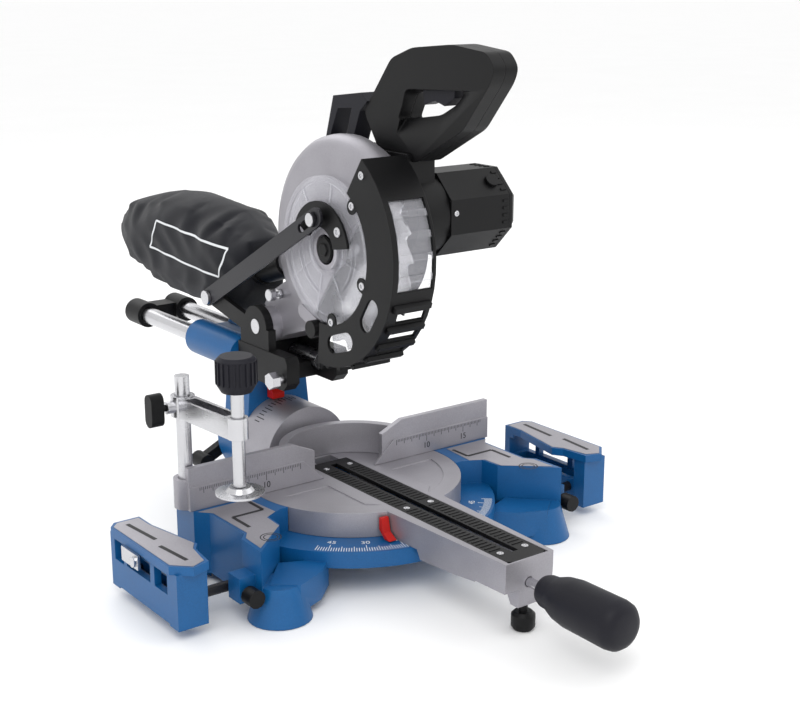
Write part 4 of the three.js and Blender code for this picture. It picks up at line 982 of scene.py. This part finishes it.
@dataclass
class KnobTrim:
    """Grip ribs of the clamp's knob."""

    maker: Maker
    knob: Point = (-174.0, -69.0)
    rib_height: float = 1.4

    def build(self) -> None:
        """Builds the knob's ribs."""
        self.ribs("clamp_knob_ribs", Axis.Z, self.knob, 17.6, 214, 235, 20, "clamp_screw")

    def ribs(self, name: str, axis: Axis, centre: Point, radius: float, start: float, end: float, count: int,
             body: str) -> None:
        """Builds a ring of ribs round a knob.

        Args:
            name: the piece's name.
            axis: the knob's axis.
            centre: its place across the axis.
            radius: where the ribs stand.
            start: where they start.
            end: where they end.
            count: how many there are.
            body: the body they ride on.
        """
        mesh = bmesh.new()
        for i in range(count):
            turn = math.tau * i / count
            out = on_circle(centre, radius, turn)
            tip = on_circle(centre, radius + self.rib_height, turn)
            self.maker.prism(mesh, axis, band(out, tip, 1.8), start, end, 0.4)
        self.maker.piece(name, mesh, body, "soft_grip", smooth=False)


@dataclass
class DustBag:
    """The fabric bag behind the saw, inflated by a cloth simulation."""

    maker: Maker
    voxel: float = 0.006
    pressure: float = 4.0
    frames: int = 20
    most_swell: float = 0.010
    drawn_in: Place = (0.94, 0.99, 0.94)
    fold_depth: float = 0.0035
    middle_plane: float = 0.0125
    stripe: float = 2.4
    stripe_steps: int = 16
    stripe_proud: float = 0.0005
    frame_corners: tuple[Point, ...] = ((191.0, 277.0), (341.0, 288.0), (362.0, 254.0), (207.0, 244.0))
    cast_from: float = -80.0

    def build(self) -> None:
        """Builds the bag and its plain white frame."""
        data = bpy.data.objects["dust_bag"].data.copy()
        bag = bpy.data.objects.new("dust_bag_fabric", data)
        bpy.context.scene.collection.objects.link(bag)
        self.shrink(bag)
        self.inflate(bag)
        bag.data.materials.clear()
        bag.data.materials.append(self.maker.palette.made["fabric"])
        bag.data.shade_smooth()
        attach(bag, "head")
        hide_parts("dust_bag")
        self.patch(bag)
        LOG.info("piece %s on head", bag.name)

    def shrink(self, bag: bpy.types.Object) -> None:
        """Draws the starting shape in, so that it swells into its CAD space.

        Args:
            bag: the bag.
        """
        middle = sum((vertex.co for vertex in bag.data.vertices), Vector()) / len(bag.data.vertices)
        for vertex in bag.data.vertices:
            vertex.co = middle + Vector(a * b for a, b in zip(vertex.co - middle, self.drawn_in))

    def inflate(self, bag: bpy.types.Object) -> None:
        """Remeshes the bag, blows it up and keeps the result.

        Args:
            bag: the bag.
        """
        bpy.context.view_layer.objects.active = bag
        bag.select_set(True)
        remesh = bag.modifiers.new("even", "REMESH")
        remesh.mode = "VOXEL"
        remesh.voxel_size = self.voxel
        bpy.ops.object.modifier_apply(modifier=remesh.name)
        before = [vertex.co.copy() for vertex in bag.data.vertices]
        cloth = bag.modifiers.new("blown", "CLOTH")
        cloth.settings.use_pressure = True
        cloth.settings.uniform_pressure_force = self.pressure
        cloth.settings.effector_weights.gravity = 0.0
        cloth.point_cache.frame_start = 1
        cloth.point_cache.frame_end = self.frames
        for frame in range(1, self.frames + 1):
            bpy.context.scene.frame_set(frame)
        bpy.ops.object.modifier_apply(modifier=cloth.name)
        bpy.context.scene.frame_set(1)
        self.crease(bag, before)
        fine = bag.modifiers.new("fine", "SUBSURF")
        fine.levels = 1
        fine.render_levels = 1
        bpy.ops.object.modifier_apply(modifier=fine.name)

    def crease(self, bag: bpy.types.Object, before: list[Vector]) -> None:
        """Caps the swelling and adds the soft folds of slack fabric.

        Args:
            bag: the bag.
            before: where its vertices were.
        """
        for vertex, start in zip(bag.data.vertices, before):
            moved = vertex.co - start
            if moved.length > self.most_swell:
                vertex.co = start + moved.normalized() * self.most_swell
            y, z = vertex.co.y / MM, vertex.co.z / MM
            fold = math.sin(y * 0.075 + math.sin(z * 0.06) * 2.0) * math.sin(z * 0.045 + y * 0.02)
            vertex.co.x -= math.copysign(abs(fold) * self.fold_depth, vertex.co.x - self.middle_plane)

    def patch(self, bag: bpy.types.Object) -> None:
        """Builds the plain white rectangle printed on the bag's left side, laid on the fabric.

        Args:
            bag: the finished bag.
        """
        mesh = bmesh.new()
        surface = bag.matrix_world.inverted()
        corners = self.frame_corners
        steps = self.stripe_steps
        for a, b in zip(corners, corners[1:] + corners[:1]):
            spots = [(a[0] + (b[0] - a[0]) * i / steps, a[1] + (b[1] - a[1]) * i / steps)
                     for i in range(steps + 1)]
            run = Vector((b[0] - a[0], b[1] - a[1])).normalized()
            side = Vector((-run.y, run.x)) * (self.stripe / 2)
            rails: list[list[bmesh.types.BMVert]] = []
            for sign in (-1, 1):
                rail = []
                for y, z in spots:
                    start = surface @ self.maker.point(self.cast_from, y + side.x * sign,
                                                       z + side.y * sign)
                    hit, place, _, _ = bag.ray_cast(start, Vector((1, 0, 0)))
                    proud = Vector((self.stripe_proud, 0, 0))
                    rail.append(mesh.verts.new(place - proud if hit else start))
                rails.append(rail)
            for i in range(steps):
                mesh.faces.new((rails[0][i], rails[0][i + 1], rails[1][i + 1], rails[1][i]))
        self.maker.piece("bag_frame_print", mesh, "head", "fabric", "white_print", smooth=False)


# ---------------------------------------------------------------- studio


@dataclass
class Studio:
    """Pale floor, soft lights and the camera."""

    lens: float = 63.41
    sensor: float = 36.0
    standpoint: Place = (-0.7816, -1.1118, 0.5675)
    back: Place = (-0.582, -0.769, 0.264)
    aim: Place = (0.0, 0.0, 0.25)
    floor_half: float = 120.0
    floor_drop: float = 0.0006

    def build(self, maker: Maker) -> None:
        """Builds the studio.

        Args:
            maker: gives the turntable's axis.
        """
        self.camera(maker)
        self.floor()
        self.light("key_light", (-1.3, -1.4, 2.2), 1.6, 22)
        self.light("fill_light", (1.8, -0.9, 1.6), 2.0, 8)
        self.light("rear_light", (0.3, 1.8, 1.9), 1.6, 12)
        world = bpy.data.worlds.new("studio")
        bpy.context.scene.world = world
        world.use_nodes = True
        background = world.node_tree.nodes["Background"]
        background.inputs["Color"].default_value = (1.0, 1.0, 1.0, 1.0)
        background.inputs["Strength"].default_value = 1.0
        bpy.context.scene.view_settings.view_transform = "Standard"

    def camera(self, maker: Maker) -> None:
        """Places the camera.

        Args:
            maker: gives the turntable's axis.
        """
        data = bpy.data.cameras.new("camera")
        data.lens = self.lens
        data.sensor_width = self.sensor
        made = bpy.data.objects.new("camera", data)
        bpy.context.scene.collection.objects.link(made)
        made.location = maker.origin + Vector(self.standpoint)
        made.rotation_mode = "QUATERNION"
        made.rotation_quaternion = Vector(self.back).to_track_quat("Z", "Y")
        bpy.context.scene.camera = made

    def floor(self) -> None:
        """Builds the pale floor."""
        mesh = bmesh.new()
        bmesh.ops.create_grid(mesh, x_segments=2, y_segments=2, size=self.floor_half)
        data = bpy.data.meshes.new("floor")
        mesh.to_mesh(data)
        mesh.free()
        made = bpy.data.objects.new("floor", data)
        bpy.context.scene.collection.objects.link(made)
        made.location.z = -self.floor_drop
        shader = Shader("floor_paint")
        broad = shader.noise(shader.place(), 3.0)
        data.materials.append(shader.finish({
            "Base Color": shader.tint(broad, (0.97, 0.97, 0.97), (0.985, 0.985, 0.985)),
            "Roughness": 0.6,
        }))

    def light(self, name: str, place: Place, size: float, power: float) -> None:
        """Adds one soft area light that faces the saw.

        Args:
            name: its name.
            place: where it hangs.
            size: its side in metres.
            power: its power in watts.
        """
        data = bpy.data.lights.new(name, "AREA")
        data.size = size
        data.energy = power
        made = bpy.data.objects.new(name, data)
        bpy.context.scene.collection.objects.link(made)
        made.location = place
        made.rotation_mode = "QUATERNION"
        made.rotation_quaternion = (Vector(place) - Vector(self.aim)).to_track_quat("Z", "Y")


def main() -> None:
    """Builds the whole scene in order."""
    logging.basicConfig(level=logging.INFO)
    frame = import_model()
    palette = Palette()
    palette.build()
    maker = Maker(palette)
    Studio().build(maker)
    palette.dress(frame)
    RoundSkins(maker, frame).build()
    for assembly in (BaseTrim, FenceRuler, TurntableTrim, GuardTrim, HeadTrim, KnobTrim, DustBag):
        assembly(maker).build()


if __name__ == "__main__":
    main()
